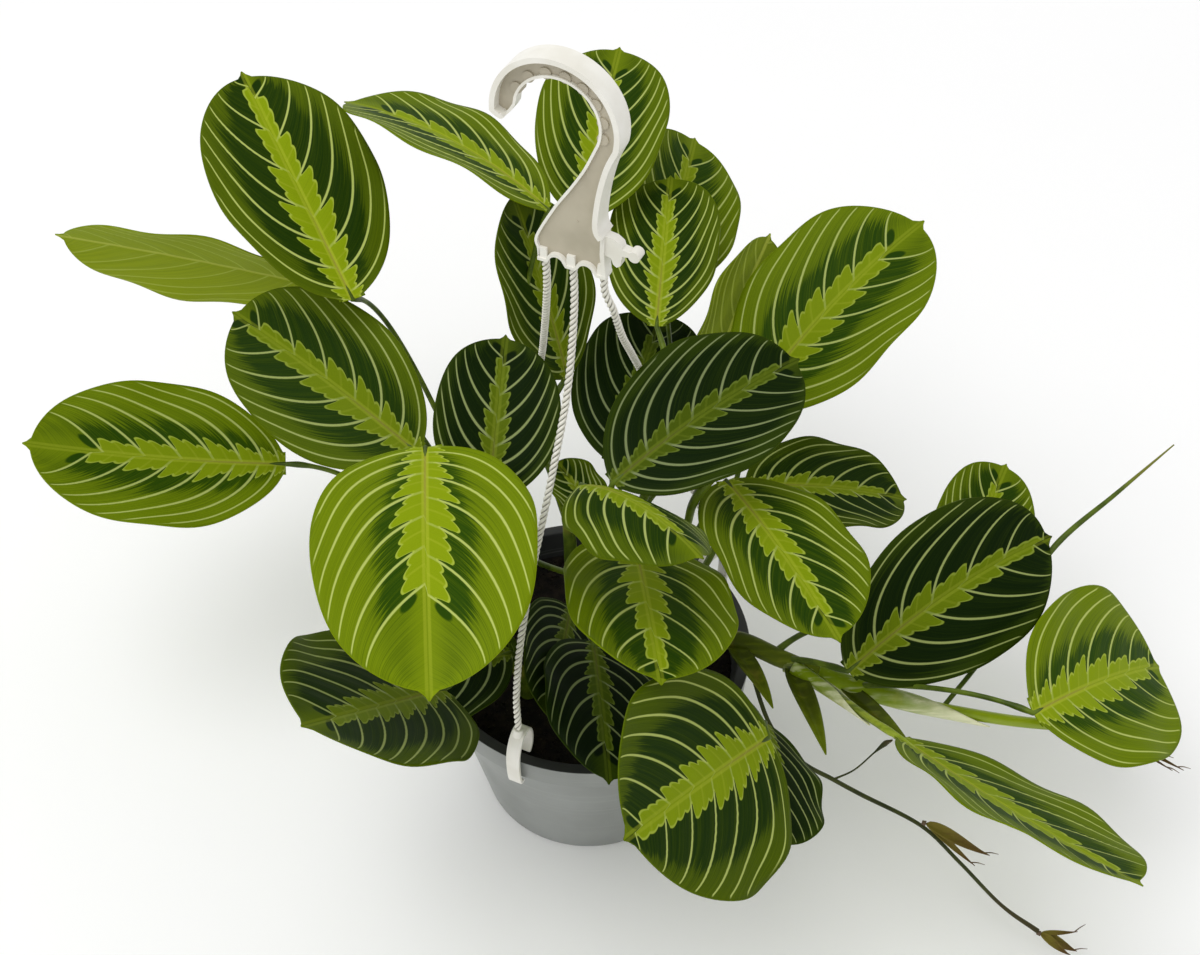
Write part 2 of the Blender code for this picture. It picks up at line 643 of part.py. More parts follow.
# brown papery pieces: where each starts, then its blades (heading, pitch, length, width)
DRIED = {
    "dried_bract_middle": ((140.5, -74.5, 62.4), [(338, -8, 29, 7), (330, -22, 27, 4)]),
    "dried_flower_end": ((191.2, -100.7, 21.2), [(350, -22, 19, 6), (330, -14, 15, 5),
                                                  (5, 4, 16, 3)]),
    "dried_stem_tip": ((219.6, -30, 69.8), [(332, -2, 38, 4), (322, 4, 34, 3), (340, -8, 30, 3)]),
}


def sheath_width(v):
    """A lance shape: widest near its foot and drawn out to a point."""
    return math.sin(math.pi * v**0.6) ** 0.8


def make_trailing_stem():
    x, y = TRAIL_ROOT
    low = SOIL_TOP - ROOT_DEPTH
    route = [Vector((x, y, low)), Vector((x, y, SOIL_TOP + 2)),
             *smooth_route([(x + 1, y, SOIL_TOP + 8), *TRAIL], 16)]
    thick, thin = TRAIL_R
    radii = [thick + (thin - thick) * i / (len(route) - 1) for i in range(len(route))]
    stem = tube("trailing_stem", route, radii, PARTS, sides=8, finish=LEAF)
    pieces = []
    for number, (start, radius, handles, leaf) in enumerate(TRAIL_LEAVES):
        pieces.append(leaf_stalk(start, handles, leaf, PIECES, radius))
        pieces.append(blade(leaf, 2.3 * number, PIECES))
    pieces.append(tube("rolled_leaf", *ROLLED_LEAVES["trailing_stem"], PIECES))
    for leaf in SHEATHS:
        pieces.append(blade(leaf, 0.0, PIECES, outline=sheath_width, columns=2, rows=5))
    stalk = smooth_route(FLOWER_STALK, 12)
    pieces.append(tube("flower_stalk", stalk, [FLOWER_STALK_R] * len(stalk), PIECES))
    pieces.append(tube("tendril", TENDRIL, TENDRIL_R, PIECES))
    return boolean(stem, "UNION", pieces)


def make_dried(name, start, blades):
    """A tuft of papery bracts fused at a small knot."""
    knot = bmesh.new()
    bmesh.ops.create_icosphere(knot, subdivisions=1, radius=1.3 * MM,
                               matrix=Matrix.Translation(MM * Vector(start)))
    tuft = from_bmesh(name, knot, PARTS, DRY)
    pieces = [blade((start, heading, pitch, 15, length, width, 12, 30), 0.0, PIECES,
                    outline=sheath_width, columns=2, rows=5)
              for heading, pitch, length, width in blades]
    return boolean(tuft, "UNION", pieces)


# ---------------------------------------------------------------- the whole plant

make_pot()
stem_roots = [(*root, STEM_R) for root, _, _ in LEAFY_STEMS.values()]
make_soil([*stem_roots, (*TRAIL_ROOT, TRAIL_R[0])])
make_hook()
for side, turn in CLIP_TURNS.items():
    make_clip(f"hanger_clip_{side}", turn)
for side, route in STRAND_ROUTES.items():
    make_strand(f"hanger_strand_{side}", side, route)
for stem_name, (root, top, leaves) in LEAFY_STEMS.items():
    leafy_stem(stem_name, root, top, leaves)
make_trailing_stem()
for tuft_name, (start, blades) in DRIED.items():
    make_dried(tuft_name, start, blades)
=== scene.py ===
# %% [markdown]
# # A potted prayer plant
#
# A prayer plant (maranta) fills a small hanging pot: broad leaves on thin stalks, each with a
# bright feather along its midrib, dark patches between its side veins and pale arching veins. A
# white plastic hook stands above it on three twisted strands. The solid model gives every piece
# its place and size; these cells give the pieces their fine form and their surfaces. Lengths are
# written in millimetres and turned to metres with MM.

import math
import random
from functools import partialmethod

import bmesh
import bpy
import numpy as np
from mathutils import Matrix, Vector


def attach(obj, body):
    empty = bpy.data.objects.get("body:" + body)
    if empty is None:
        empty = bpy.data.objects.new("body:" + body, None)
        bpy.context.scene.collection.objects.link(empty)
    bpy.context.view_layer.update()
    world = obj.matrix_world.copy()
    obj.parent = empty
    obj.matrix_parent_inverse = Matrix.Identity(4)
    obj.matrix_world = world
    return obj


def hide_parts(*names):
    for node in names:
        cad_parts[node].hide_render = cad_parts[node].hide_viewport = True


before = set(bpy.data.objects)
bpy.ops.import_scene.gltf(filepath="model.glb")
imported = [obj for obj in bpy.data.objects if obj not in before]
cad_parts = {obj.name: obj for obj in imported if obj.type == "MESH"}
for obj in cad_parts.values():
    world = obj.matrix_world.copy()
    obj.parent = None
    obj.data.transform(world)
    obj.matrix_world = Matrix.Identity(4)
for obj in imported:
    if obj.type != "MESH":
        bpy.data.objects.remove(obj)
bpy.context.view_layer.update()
scene = bpy.context.scene
MM = 0.001
print("solid parts:", ", ".join(sorted(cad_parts)))

# %% [markdown]
# ## The camera
#
# The view looks down on the plant at about 45 degrees from 75 cm away, near enough for the hook to
# lean over the leaves. A camera is an object whose -Z looks forward, so its rotation is built from
# three unit vectors: to the right, up, and back. A small roll tips the view, since a camera held
# in the hand is never quite level.

# %% Place the camera
CAMERA_AT = Vector((0.004, -0.4923, 0.6803))
LOOKS_AT = Vector((0.004, 0.038, 0.150))
CAMERA_ROLL = math.radians(0.7)
CAMERA_LENS, CAMERA_SEES_TO = 53.1, 20.0


def placed(name, data):
    """A new object at the origin, in the scene."""
    made = bpy.data.objects.new(name, data)
    scene.collection.objects.link(made)
    return made


forward = (LOOKS_AT - CAMERA_AT).normalized()
right = forward.cross(Vector((0, 0, 1))).normalized()
up = right.cross(forward)
tipped_right = math.cos(CAMERA_ROLL) * right + math.sin(CAMERA_ROLL) * up
tipped_up = math.cos(CAMERA_ROLL) * up - math.sin(CAMERA_ROLL) * right
camera = placed("camera", bpy.data.cameras.new("camera"))
camera.data.lens, camera.data.clip_end = CAMERA_LENS, CAMERA_SEES_TO
turn = Matrix((tipped_right, tipped_up, -forward)).transposed().to_4x4()
camera.matrix_world = Matrix.Translation(CAMERA_AT) @ turn
scene.camera = camera
print("camera looks down at", round(math.degrees(math.asin(-forward.z))), "degrees")

# %% [markdown]
# ## Helpers for pieces, paths and Geometry Nodes
#
# Strands, stalks and threads all follow a path, so they share a few helpers: a smooth curve
# through a handful of points, a curve object to hold it, and a function that runs a Geometry Nodes
# tree on an object and keeps the result as a plain mesh. Every finished piece then says which
# solid part it stands in for.

# %% Finished pieces and their meshes
def stand_in(piece, node):
    """Says which solid part a finished piece replaces, which is then hidden; the piece rides on the
    root.
    """
    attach(piece, "root")
    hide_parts(node)


def mesh_of(name, shape):
    """A mesh from a bmesh, which is then let go."""
    mesh = bpy.data.meshes.new(name)
    shape.to_mesh(mesh)
    shape.free()
    return mesh


def evaluated_mesh(source):
    """The mesh that an object's modifiers make of it."""
    bpy.context.view_layer.update()
    graph = bpy.context.evaluated_depsgraph_get()
    return bpy.data.meshes.new_from_object(source.evaluated_get(graph))


# %% A smooth path through given points, and a curve object that holds several
def smooth_route(points, spacing):
    """Points about `spacing` mm apart on a Catmull-Rom curve through the given ones."""
    knots = [Vector(p) for p in points]
    knots = [2 * knots[0] - knots[1], *knots, 2 * knots[-1] - knots[-2]]
    route = []
    for a, b, c, d in zip(knots, knots[1:], knots[2:], knots[3:]):
        count = max(1, round((c - b).length / spacing))
        for i in range(count):
            t = i / count
            route.append(0.5 * (2 * b + (c - a) * t + (2 * a - 5 * b + 4 * c - d) * t**2
                                + (3 * b - a - 3 * c + d) * t**3))
    return [*route, knots[-2]]


def steps_along(points):
    return [(Vector(b) - Vector(a)).length for a, b in zip(points, points[1:])]


def path_object(paths):
    """Each path is (points in mm, radii in mm). The radii ride on the curve's points."""
    curve = bpy.data.curves.new("paths", "CURVE")
    curve.dimensions = "3D"
    for points, radii in paths:
        spline = curve.splines.new("POLY")
        spline.points.add(len(points) - 1)
        for knot, place, radius in zip(spline.points, points, radii):
            knot.co = (*(MM * Vector(place)), 1.0)
            knot.radius = radius * MM
    return placed("paths", curve)


# %% Build a tree with named inputs, and run it on an object
def new_tree(name, **inputs):
    """A Geometry Nodes tree with an input for each value, and one for the material."""
    tree = bpy.data.node_groups.new(name, "GeometryNodeTree")
    for way in ("INPUT", "OUTPUT"):
        tree.interface.new_socket("Geometry", in_out=way, socket_type="NodeSocketGeometry")
    for label, value in inputs.items():
        kind = "NodeSocketInt" if isinstance(value, int) else "NodeSocketFloat"
        tree.interface.new_socket(label, in_out="INPUT", socket_type=kind).default_value = value
    tree.interface.new_socket("Finish", in_out="INPUT", socket_type="NodeSocketMaterial")
    return tree, tree.nodes.new("NodeGroupInput").outputs


def run_tree(source, tree, name, **values):
    """A new object at the origin, with the mesh that the tree makes of the source, which goes."""
    modifier = source.modifiers.new("shape", "NODES")
    modifier.node_group = tree
    for item in tree.interface.items_tree:
        if item.in_out == "INPUT" and item.name in values:
            modifier[item.identifier] = values[item.name]
    mesh = evaluated_mesh(source)
    mesh.name = name
    bpy.data.objects.remove(source)
    return placed(name, mesh)


# %% [markdown]
# ## Sums made of nodes
#
# Leaf patterns are formulas. Written as bare Math nodes, a formula of ten steps is thirty lines
# that nobody can read. This small class wraps a node socket so that Python's own signs build the
# nodes: `(a + b) * 2` makes an Add and a Multiply. The sums serve in materials and in Geometry
# Nodes alike.

# %% A node with its inputs filled, and a socket that can be used in sums
def plug(tree, value, socket):
    """Links a sum or another node's socket to this socket, or writes a constant in it."""
    value = value.socket if isinstance(value, Sum) else value
    if isinstance(value, bpy.types.NodeSocket):
        tree.links.new(value, socket)
    elif value is not None:
        socket.default_value = value


def add(tree, kind, inputs=(), **settings):
    """A new node. `inputs` gives a value for each input, by its name or its place."""
    node = tree.nodes.new(kind)
    for key, value in settings.items():
        setattr(node, key, value)
    for key, value in dict(inputs).items():
        plug(tree, value, node.inputs[key])
    return node


class Sum:
    def __init__(self, tree, socket):
        self.tree, self.socket = tree, socket

    def step(self, operation, *others):
        node = add(self.tree, "ShaderNodeMath", enumerate((self, *others)), operation=operation)
        return Sum(self.tree, node.outputs[0])

    __add__ = __radd__ = partialmethod(step, "ADD")
    __mul__ = __rmul__ = partialmethod(step, "MULTIPLY")
    __sub__, __truediv__ = partialmethod(step, "SUBTRACT"), partialmethod(step, "DIVIDE")
    __abs__ = partialmethod(step, "ABSOLUTE")
    least, most = partialmethod(step, "MINIMUM"), partialmethod(step, "MAXIMUM")

    def __rsub__(self, other):
        return self * -1.0 + other

    def rise(self, low, high):
        """0 below low, 1 above high and smooth between. With low above high it falls instead."""
        falls = not isinstance(low, Sum) and not isinstance(high, Sum) and low > high
        ends = (high, low, 1.0, 0.0) if falls else (low, high, 0.0, 1.0)
        node = add(self.tree, "ShaderNodeMapRange", enumerate((self, *ends)),
                   interpolation_type="SMOOTHSTEP")
        return Sum(self.tree, node.outputs[0])

    def blend(self, first, second):
        """The second colour laid over the first, with this sum as its share from 0 to 1."""
        return add(self.tree, "ShaderNodeMix", {0: self, 6: first, 7: second},
                   data_type="RGBA").outputs[2]


# %% Colours, places and noises for those sums
def rgb(red, green, blue):
    """A screen colour of 0 to 255 as the linear colour that shaders take."""
    return (*(((c / 255 + 0.055) / 1.055) ** 2.4 if c > 10 else c / 255 / 12.92
              for c in (red, green, blue)), 1.0)


def read(tree, *names):
    """The values that the mesh carries under these names."""
    return [Sum(tree, add(tree, "ShaderNodeAttribute", attribute_name=name).outputs["Fac"])
            for name in names]


def vector_of(tree, *xyz):
    return add(tree, "ShaderNodeCombineXYZ", enumerate(xyz)).outputs[0]


def object_place(tree):
    return add(tree, "ShaderNodeTexCoord").outputs["Object"]


def stretched(tree, *scale):
    """Object coordinates with a scale for each axis, for marks that run one way."""
    return add(tree, "ShaderNodeMapping",
               {"Vector": object_place(tree), "Scale": scale}).outputs[0]


def noise(tree, scale, detail=2.0, where=None):
    """A noise from 0 to 1 over the object, or over another place."""
    where = object_place(tree) if where is None else where
    node = add(tree, "ShaderNodeTexNoise", {"Vector": where, "Scale": scale, "Detail": detail})
    return Sum(tree, node.outputs["Fac"])


# %% A material, and what feeds its shader
def new_material(name, roughness=0.5, specular=0.5):
    made = bpy.data.materials.new(name)
    made.use_nodes = True
    shader = made.node_tree.nodes["Principled BSDF"]
    shader.inputs["Roughness"].default_value = roughness
    shader.inputs["Specular IOR Level"].default_value = specular
    return made, made.node_tree


def coat(made, colour, height=None, strength=0.3, depth=0.1, rough=None):
    """Feeds the shader its colour, a relief `depth` mm deep and, if given, its roughness."""
    tree, shader = made.node_tree, made.node_tree.nodes["Principled BSDF"]
    plug(tree, colour, shader.inputs["Base Color"])
    plug(tree, rough, shader.inputs["Roughness"])
    if height is not None:
        relief = add(tree, "ShaderNodeBump",
                     {"Height": height, "Strength": strength, "Distance": depth * MM})
        plug(tree, relief.outputs[0], shader.inputs["Normal"])
    return made


# %% [markdown]
# ## The twisted strands
#
# Each strand is three thin plies laid round each other, 3 mm thick in all. A rope like this
# follows a path, so Geometry Nodes make it: the path is copied once for each ply, each copy's
# points are pushed sideways by an angle that grows along the path, and a small round profile is
# swept along all three. The strands run from the sockets under the hook, bow outwards between the
# leaves and end on their clips.

# %% Off-white plastic for the strands, hook and clips
def plastic_with_grain(name, tint, shade, roughness, grain):
    made, tree = new_material(name, roughness)
    cloud, specks = noise(tree, 60, 3), noise(tree, grain)
    return coat(made, cloud.rise(0.35, 0.7).blend(tint, shade), specks, 0.25, 0.08,
                specks * 0.2 + (roughness - 0.1))


def strand_material():
    """Off-white, and darker in the grooves between the plies, where light doesn't reach."""
    made, tree = new_material("strand_plastic", 0.42)
    specks = noise(tree, 900)
    colour = specks.rise(0.35, 0.7).blend(rgb(236, 234, 224), rgb(222, 218, 204))
    in_groove = (read(tree, "from_middle")[0] / MM).rise(1.42, 0.95)
    return coat(made, (in_groove * 0.85).blend(colour, rgb(96, 92, 78)), specks, 0.25, 0.08)


STRAND_PLASTIC = strand_material()

# %% Steps that the trees share
def capture(tree, geometry, **values):
    """Keeps each value (kind, socket) on the points, to be read after the shape has changed."""
    keep = tree.nodes.new("GeometryNodeCaptureAttribute")
    for name, (kind, _) in values.items():
        keep.capture_items.new(kind, name)
    for place, value in enumerate((geometry, *(value for _, value in values.values()))):
        plug(tree, value, keep.inputs[place])
    return keep.outputs


def sweep_circle(tree, curve, radius, sides, scale=1.0):
    """A round profile swept along every path of a curve."""
    ring = add(tree, "GeometryNodeCurvePrimitiveCircle", {"Radius": radius, "Resolution": sides})
    return add(tree, "GeometryNodeCurveToMesh",
               {"Curve": curve, "Profile Curve": ring.outputs["Curve"], "Scale": scale,
                "Fill Caps": True}).outputs[0]


def store(tree, geometry, name, value):
    """Writes a value on the mesh, under the name that a material reads."""
    return add(tree, "GeometryNodeStoreNamedAttribute",
               {"Geometry": geometry, "Name": name, "Value": value}).outputs[0]


def finish_tree(tree, geometry, given, smooth=True):
    """The usual end of a tree: smooth faces if wanted, real copies, and the material."""
    if smooth:
        geometry = add(tree, "GeometryNodeSetShadeSmooth", {"Geometry": geometry}).outputs[0]
    real = add(tree, "GeometryNodeRealizeInstances", {"Geometry": geometry})
    painted = add(tree, "GeometryNodeSetMaterial",
                  {"Geometry": real.outputs[0], "Material": given["Finish"]})
    add(tree, "NodeGroupOutput", {"Geometry": painted.outputs[0]})
    return tree


# %% The tree that lays plies round a path
PLIES, PLY_R, PLY_OFFSET, PLY_SIDES = 3, 0.72, 0.79, 8
TWIST_PITCH = 7.4


def rope_tree():
    tree, given = new_tree("lay_plies_round_path", Plies=PLIES, Offset=PLY_OFFSET * MM,
                           Pitch=TWIST_PITCH * MM, Ply_Radius=PLY_R * MM)
    copies = add(tree, "GeometryNodeDuplicateElements",
                 {"Geometry": given["Geometry"], "Amount": given["Plies"]}, domain="SPLINE")
    travelled = Sum(tree, add(tree, "GeometryNodeSplineParameter").outputs["Length"])
    index = Sum(tree, copies.outputs["Duplicate Index"])
    angle = (travelled / given["Pitch"] + index / given["Plies"]) * math.tau
    spin = add(tree, "FunctionNodeAxisAngleToRotation",
               {"Axis": add(tree, "GeometryNodeInputTangent").outputs[0], "Angle": angle})
    sideways = add(tree, "FunctionNodeRotateVector",
                   {"Vector": add(tree, "GeometryNodeInputNormal").outputs[0],
                    "Rotation": spin.outputs[0]})
    position = add(tree, "GeometryNodeInputPosition").outputs[0]
    kept = capture(tree, copies.outputs["Geometry"], sideways=("VECTOR", sideways.outputs[0]),
                   middle=("VECTOR", position))
    push = add(tree, "ShaderNodeVectorMath", {0: kept[1], "Scale": given["Offset"]},
               operation="SCALE")
    moved = add(tree, "GeometryNodeSetPosition", {"Geometry": kept[0], "Offset": push.outputs[0]})
    plies = sweep_circle(tree, moved.outputs[0], given["Ply_Radius"], PLY_SIDES)
    away = add(tree, "ShaderNodeVectorMath", {0: position, 1: kept[2]}, operation="DISTANCE")
    plies = store(tree, plies, "from_middle", away.outputs["Value"])
    return finish_tree(tree, plies, given)


ROPE = rope_tree()
print("rope tree:", len(ROPE.nodes), "nodes")

# %% The strands' routes, from the hook's sockets to the clips
HOOK_TURN = math.radians(-25.0)
STRAND_D, STRAND_SPACING, STRAND_TOP = 3.0, 0.5, 290.7
SOCKETS = {"left": -18.0, "middle": -7.0, "right": 5.0}
CLIP_TURNS = {"front": 246.0, "right": 35.0, "back": 125.0}
STRAND_ROUTES = {
    "front": ("middle", [(-6, 2, 275), (-7, -1, 254), (-9, -7, 235), (-13, -17, 214),
                         (-17.5, -28, 193), (-21, -37, 178), (-26, -51, 149), (-28, -58, 124)]),
    "right": ("right", [(5, -2, 283), (8, -1, 274), (11.5, 6, 256), (15, 18, 238), (19, 31, 218),
                        (26, 37, 195), (36, 39, 165), (46, 39, 136)]),
    "back": ("left", [(-16, 9.5, 280), (-16.5, 15, 265), (-18, 28, 240), (-20, 42, 214),
                      (-24, 50, 185), (-30, 54, 152), (-36, 56, 125)]),
}
# a clip's boss, as (distance from the pot's axis, height) of its foot and its head
BOSS_FOOT, BOSS_HEAD = (68.2, 103.2), (67.6, 106.8)
PAST_BOSS = 0.3


def in_hook_plane(x, z, depth=0.0):
    """A point of the hook's own plane, which is turned about the pot's axis."""
    return Vector((x * math.cos(HOOK_TURN) - depth * math.sin(HOOK_TURN),
                   x * math.sin(HOOK_TURN) + depth * math.cos(HOOK_TURN), z))


def round_the_pot(distance, height, turn):
    return Vector((distance * math.cos(math.radians(turn)),
                   distance * math.sin(math.radians(turn)), height))


for side, (socket, middle) in STRAND_ROUTES.items():
    foot, head = (round_the_pot(*end, CLIP_TURNS[side]) for end in (BOSS_FOOT, BOSS_HEAD))
    ends = in_hook_plane(SOCKETS[socket], STRAND_TOP), head + PAST_BOSS * (head - foot).normalized()
    route = smooth_route([ends[0], *middle, ends[1]], STRAND_SPACING)
    length = sum(steps_along(route))
    strand = run_tree(path_object([(route, [1.0] * len(route))]), ROPE, f"strand_{side}",
                      Finish=STRAND_PLASTIC)
    stand_in(strand, f"hanger_strand_{side}")
    print(strand.name, round(length), "mm,", len(strand.data.polygons), "faces")

# %% [markdown]
# ## The pattern on a leaf
#
# The pattern follows the leaf's veins, so every blade's mesh carries its own leaf coordinates, and
# the shader reads those: `vein` counts the side veins from the base, whole at a vein and .5
# halfway to the next, up to `veins`; `gap` is the distance between veins there; `across` is the
# distance from the midrib; `along` the share of the length; `margin` the distance to the edge;
# `reach` how far the bright feather goes, and `spread` how far the dark patches do. `tone` runs
# from 0, a dark leaf, to 1, a bright one, and `glow` does the same for its feather and veins. A
# low value is partly the leaf's age and partly painted shade, which is strongest on the leaves
# deep inside the plant. One node group turns them into colour, height and roughness for the upper
# face.

# %% The names of those values, and the leaf's colours, dark and bright
BLADE_VALUES = ("vein", "gap", "across", "along", "margin", "reach", "spread", "tone", "seed",
                "glow", "veins")
# the dark ends serve low tones, which hold painted shade as well as the leaf's age
LEAF_COLOURS = {
    "outer": (rgb(26, 44, 6), rgb(108, 128, 8)),
    "patch": (rgb(9, 22, 4), rgb(38, 66, 3)),
    "feather": (rgb(48, 64, 8), rgb(130, 150, 12)),
    "feather_edge": (rgb(84, 102, 38), rgb(172, 186, 76)),
    "vein": (rgb(118, 130, 94), rgb(188, 200, 108)),
    "midrib": (rgb(80, 96, 24), rgb(160, 172, 44)),
    "groove": (rgb(84, 88, 40), rgb(150, 140, 62)),
}


def lay(share, under, tone, part):
    """A part's colour, at a tone from dark to bright, laid over another colour."""
    return share.blend(under, tone.blend(*LEAF_COLOURS[part]))


# %% The pattern group for the upper face
STRIPES_A_VEIN, THREADS_A_VEIN = 15.0, 42.0
LOBE_TEETH, LOBE_LEAST = 3.4, 0.44
VEIN_STAGGER = 0.13  # the side veins of one half start a little ahead of the other half's


def feather_pattern():
    tree = bpy.data.node_groups.new("feather_pattern", "ShaderNodeTree")
    for label, way, kind in (("Color", "OUTPUT", "Color"), ("Height", "OUTPUT", "Float"),
                             ("Roughness", "OUTPUT", "Float"), ("Vein Width", "INPUT", "Float")):
        tree.interface.new_socket(label, in_out=way, socket_type=f"NodeSocket{kind}")
    vein, gap, across, along, margin, reach, spread, tone, seed, glow, veins = read(
        tree, *BLADE_VALUES)
    between = vein.step("FRACT")
    to_vein = between.least(1.0 - between) * gap
    width = Sum(tree, add(tree, "NodeGroupInput").outputs["Vein Width"]) * (1.2 - along * 0.4)
    width = width * (margin.rise(0.0, 16.0) * 0.5 + 0.6)
    on_vein = 1.0 - to_vein.rise(width * 0.35, width)
    before_last = 1.0 - vein.rise(veins - 0.06, veins + 0.02)

    # fine stripes that run beside the veins, and a slow cloud
    stripes, threads, cloud = (
        noise(tree, 1.0, detail, vector_of(tree, *place)) for detail, place in (
            (3.0, (vein * STRIPES_A_VEIN + seed * 7.0, across * 0.035, seed)),
            (1.0, (vein * THREADS_A_VEIN, across * 0.03, seed)),
            (2.0, (vein * 0.9, across * 0.05, seed * 3.1))))

    # a lobe of the feather: it widens from one vein to the next with small teeth, then cuts back
    teeth = abs((between * (math.pi * LOBE_TEETH) + 0.2).step("SINE")) * 0.17
    outward = between * 0.62 + 0.42 + teeth
    homeward = (0.94 - between) * 5.5 + LOBE_LEAST
    lobe = outward.least(homeward).most(LOBE_LEAST)
    lobe_edge = lobe * reach * (0.93 + cloud * 0.14) - across
    feather_here = lobe_edge.rise(-0.25, 0.2) * before_last

    # dark patches start at the feather and end outwards in streaks of different lengths
    fade = spread + (stripes - 0.5) * 17.0 + (threads - 0.5) * 9.0 + (cloud - 0.5) * 14.0
    patch = (1.0 - across.rise(fade - 2.6, fade + 1.6)) * vein.rise(0.5, 1.6) * before_last
    tip_side = (vein - veins - VEIN_STAGGER) * gap * 0.5
    tip_across = (across - reach * 0.8) / 3.2

    # the ground outside the patches, then the patches, the feather and the veins
    # a low tone darkens every colour of the blade: partly the leaf's age, partly painted shade
    outer = lay(stripes.rise(0.44, 0.62) * 0.5, tone.blend(*LEAF_COLOURS["outer"]), tone * 0.8,
                "feather")
    outer = lay(threads.rise(0.45, 0.7) * 0.45, outer, tone, "patch")
    outer = lay(across.rise(spread * 1.7, spread * 0.8) * 0.25, outer, tone, "patch")
    dark = (stripes.rise(0.45, 0.8) * 0.3).blend(tone.blend(*LEAF_COLOURS["patch"]), outer)
    dark = (threads.rise(0.55, 0.3) * 0.22).blend(dark, outer)
    light = glow.blend(*LEAF_COLOURS["feather"])
    middle_vein = (abs(between - 0.5) * gap).rise(0.7, 0.1)
    for share, value, part in (
            (middle_vein * 0.35, glow, "midrib"),
            (threads.rise(0.4, 0.8) * 0.25, tone, "outer"),
            (abs(lobe_edge - 0.35).rise(0.75, 0.15) * 0.6, glow, "feather_edge")):
        light = lay(share, light, value, part)
    colour = feather_here.blend(patch.blend(outer, dark), light)
    vein_here = on_vein * (1.0 - vein.rise(veins + 0.4, veins + 0.5)) * margin.rise(0.3, 2.2)
    for share, value, part in (
            ((1.0 - before_last) * across.rise(9.0, 1.0) * 0.4, glow, "feather"),
            ((tip_side * tip_side + tip_across * tip_across).rise(1.5, 0.7), tone, "patch"),
            (vein_here * (0.82 - feather_here * 0.5), glow, "vein"),
            (abs(across - 0.8).rise(0.85, 0.3) * (1.0 - along * 0.6) * 0.75, glow, "midrib"),
            (across.rise(0.75, 0.25) * along.rise(0.5, 0.2) * 0.6, glow, "groove"),
            # a painted highlight: the rim and the outermost 0.3 mm are lightened to cancel the
            # shade on the blade's thin sideways edge
            (margin.rise(0.4, 0.05) * 0.6, tone, "feather")):
        colour = lay(share, colour, value, part)

    add(tree, "NodeGroupOutput", {
        "Color": colour,
        "Height": threads * 0.25 + stripes * 0.2 - vein_here * 0.35 + 0.4
                  - across.rise(1.3, 0.2) * 0.4,
        "Roughness": stripes * 0.16 + (cloud * 0.12 + 0.34)})
    return tree


# %% The upper face's material, and the underside: pale, plain, with veins standing out
VEIN_WIDTH = 0.64


def upper_leaf_material():
    made, tree = new_material("leaf_upper", 0.5, 0.03)
    pattern = add(tree, "ShaderNodeGroup", node_tree=FEATHER_PATTERN)
    plug(tree, VEIN_WIDTH, pattern.inputs["Vein Width"])
    colour, height, rough = pattern.outputs
    return coat(made, colour, height, 0.5, 0.25, rough)


def under_leaf_material():
    made, tree = new_material("leaf_underside", 0.6, 0.04)
    vein, gap, across, seed, tone = read(tree, "vein", "gap", "across", "seed", "tone")
    between = vein.step("FRACT")
    on_vein = (between.least(1.0 - between) * gap).rise(0.8, 0.15)
    threads = noise(tree, 1.0, where=vector_of(tree, vein * 22.0, across * 0.03, seed))
    # the underside darkens with the tone too, so it carries the same painted shade
    colour = tone.blend(rgb(66, 84, 24), rgb(146, 162, 22))
    colour = (threads.rise(0.35, 0.75) * 0.35).blend(colour, rgb(92, 114, 14))
    colour = (on_vein * 0.6).blend(colour, rgb(168, 182, 74))
    colour = across.rise(1.6, 0.5).blend(colour, rgb(164, 174, 64))
    return coat(made, colour, threads * 0.3 + on_vein * 0.7, 0.5, 0.3)


FEATHER_PATTERN = feather_pattern()
LEAF_UPPER, LEAF_UNDER = upper_leaf_material(), under_leaf_material()
print("feather pattern:", len(FEATHER_PATTERN.nodes), "nodes")

# %% [markdown]
# ## The leaf blades
#
# A blade is a grid laid along its midrib. It droops by an even amount from base to tip, folds a
# little at the midrib and waves at its edges, as in the solid model. On the fine grid the strips
# between the side veins also swell a little, which is what catches the light on the real leaf. The
# grid becomes a closed leaf 0.45 mm thick with Solidify, whose under face takes the second
# material.

# %% The leaf's outline and its frame along the midrib
EDGE_WAVE, EDGE_WAVES, SWELL = 1.3, 2.5, 0.055
BLADE_ROWS, BLADE_COLUMNS, BLADE_THICK = 54, 36, 0.45
TIP_LENGTH, TIP_WIDTH = 0.03, 0.16
BESIDE_MIDRIB = 0.012
MIDRIB_STEPS = 40


def frame_at(heading, pitch, roll):
    """Unit vectors along a blade, to its right-hand side and out of its upper face."""
    h, p, r = (math.radians(a) for a in (heading, pitch, roll))
    ahead = np.array((math.cos(h), math.sin(h), 0.0))
    upward = np.array((0.0, 0.0, 1.0))
    side = np.array((math.sin(h), -math.cos(h), 0.0))
    along = math.cos(p) * ahead + math.sin(p) * upward
    normal = math.cos(p) * upward - math.sin(p) * ahead
    return (along, math.cos(r) * side - math.sin(r) * normal,
            math.cos(r) * normal + math.sin(r) * side)


def half_width(v):
    """Share of the greatest half width at a share v of the blade's length."""
    return np.maximum(0.0, 1.0 - np.abs(2.0 * v**1.08 - 1.0) ** 2.25) ** 0.56


def outline_width(v):
    """The same share on the fine blade, which runs on past the end in a small point."""
    point = TIP_WIDTH * np.clip((1.0 + TIP_LENGTH - v) / (TIP_LENGTH + 0.02), 0.0, 1.0) ** 1.3
    return np.maximum(half_width(np.clip(v, 0.0008, 1.0)), point)


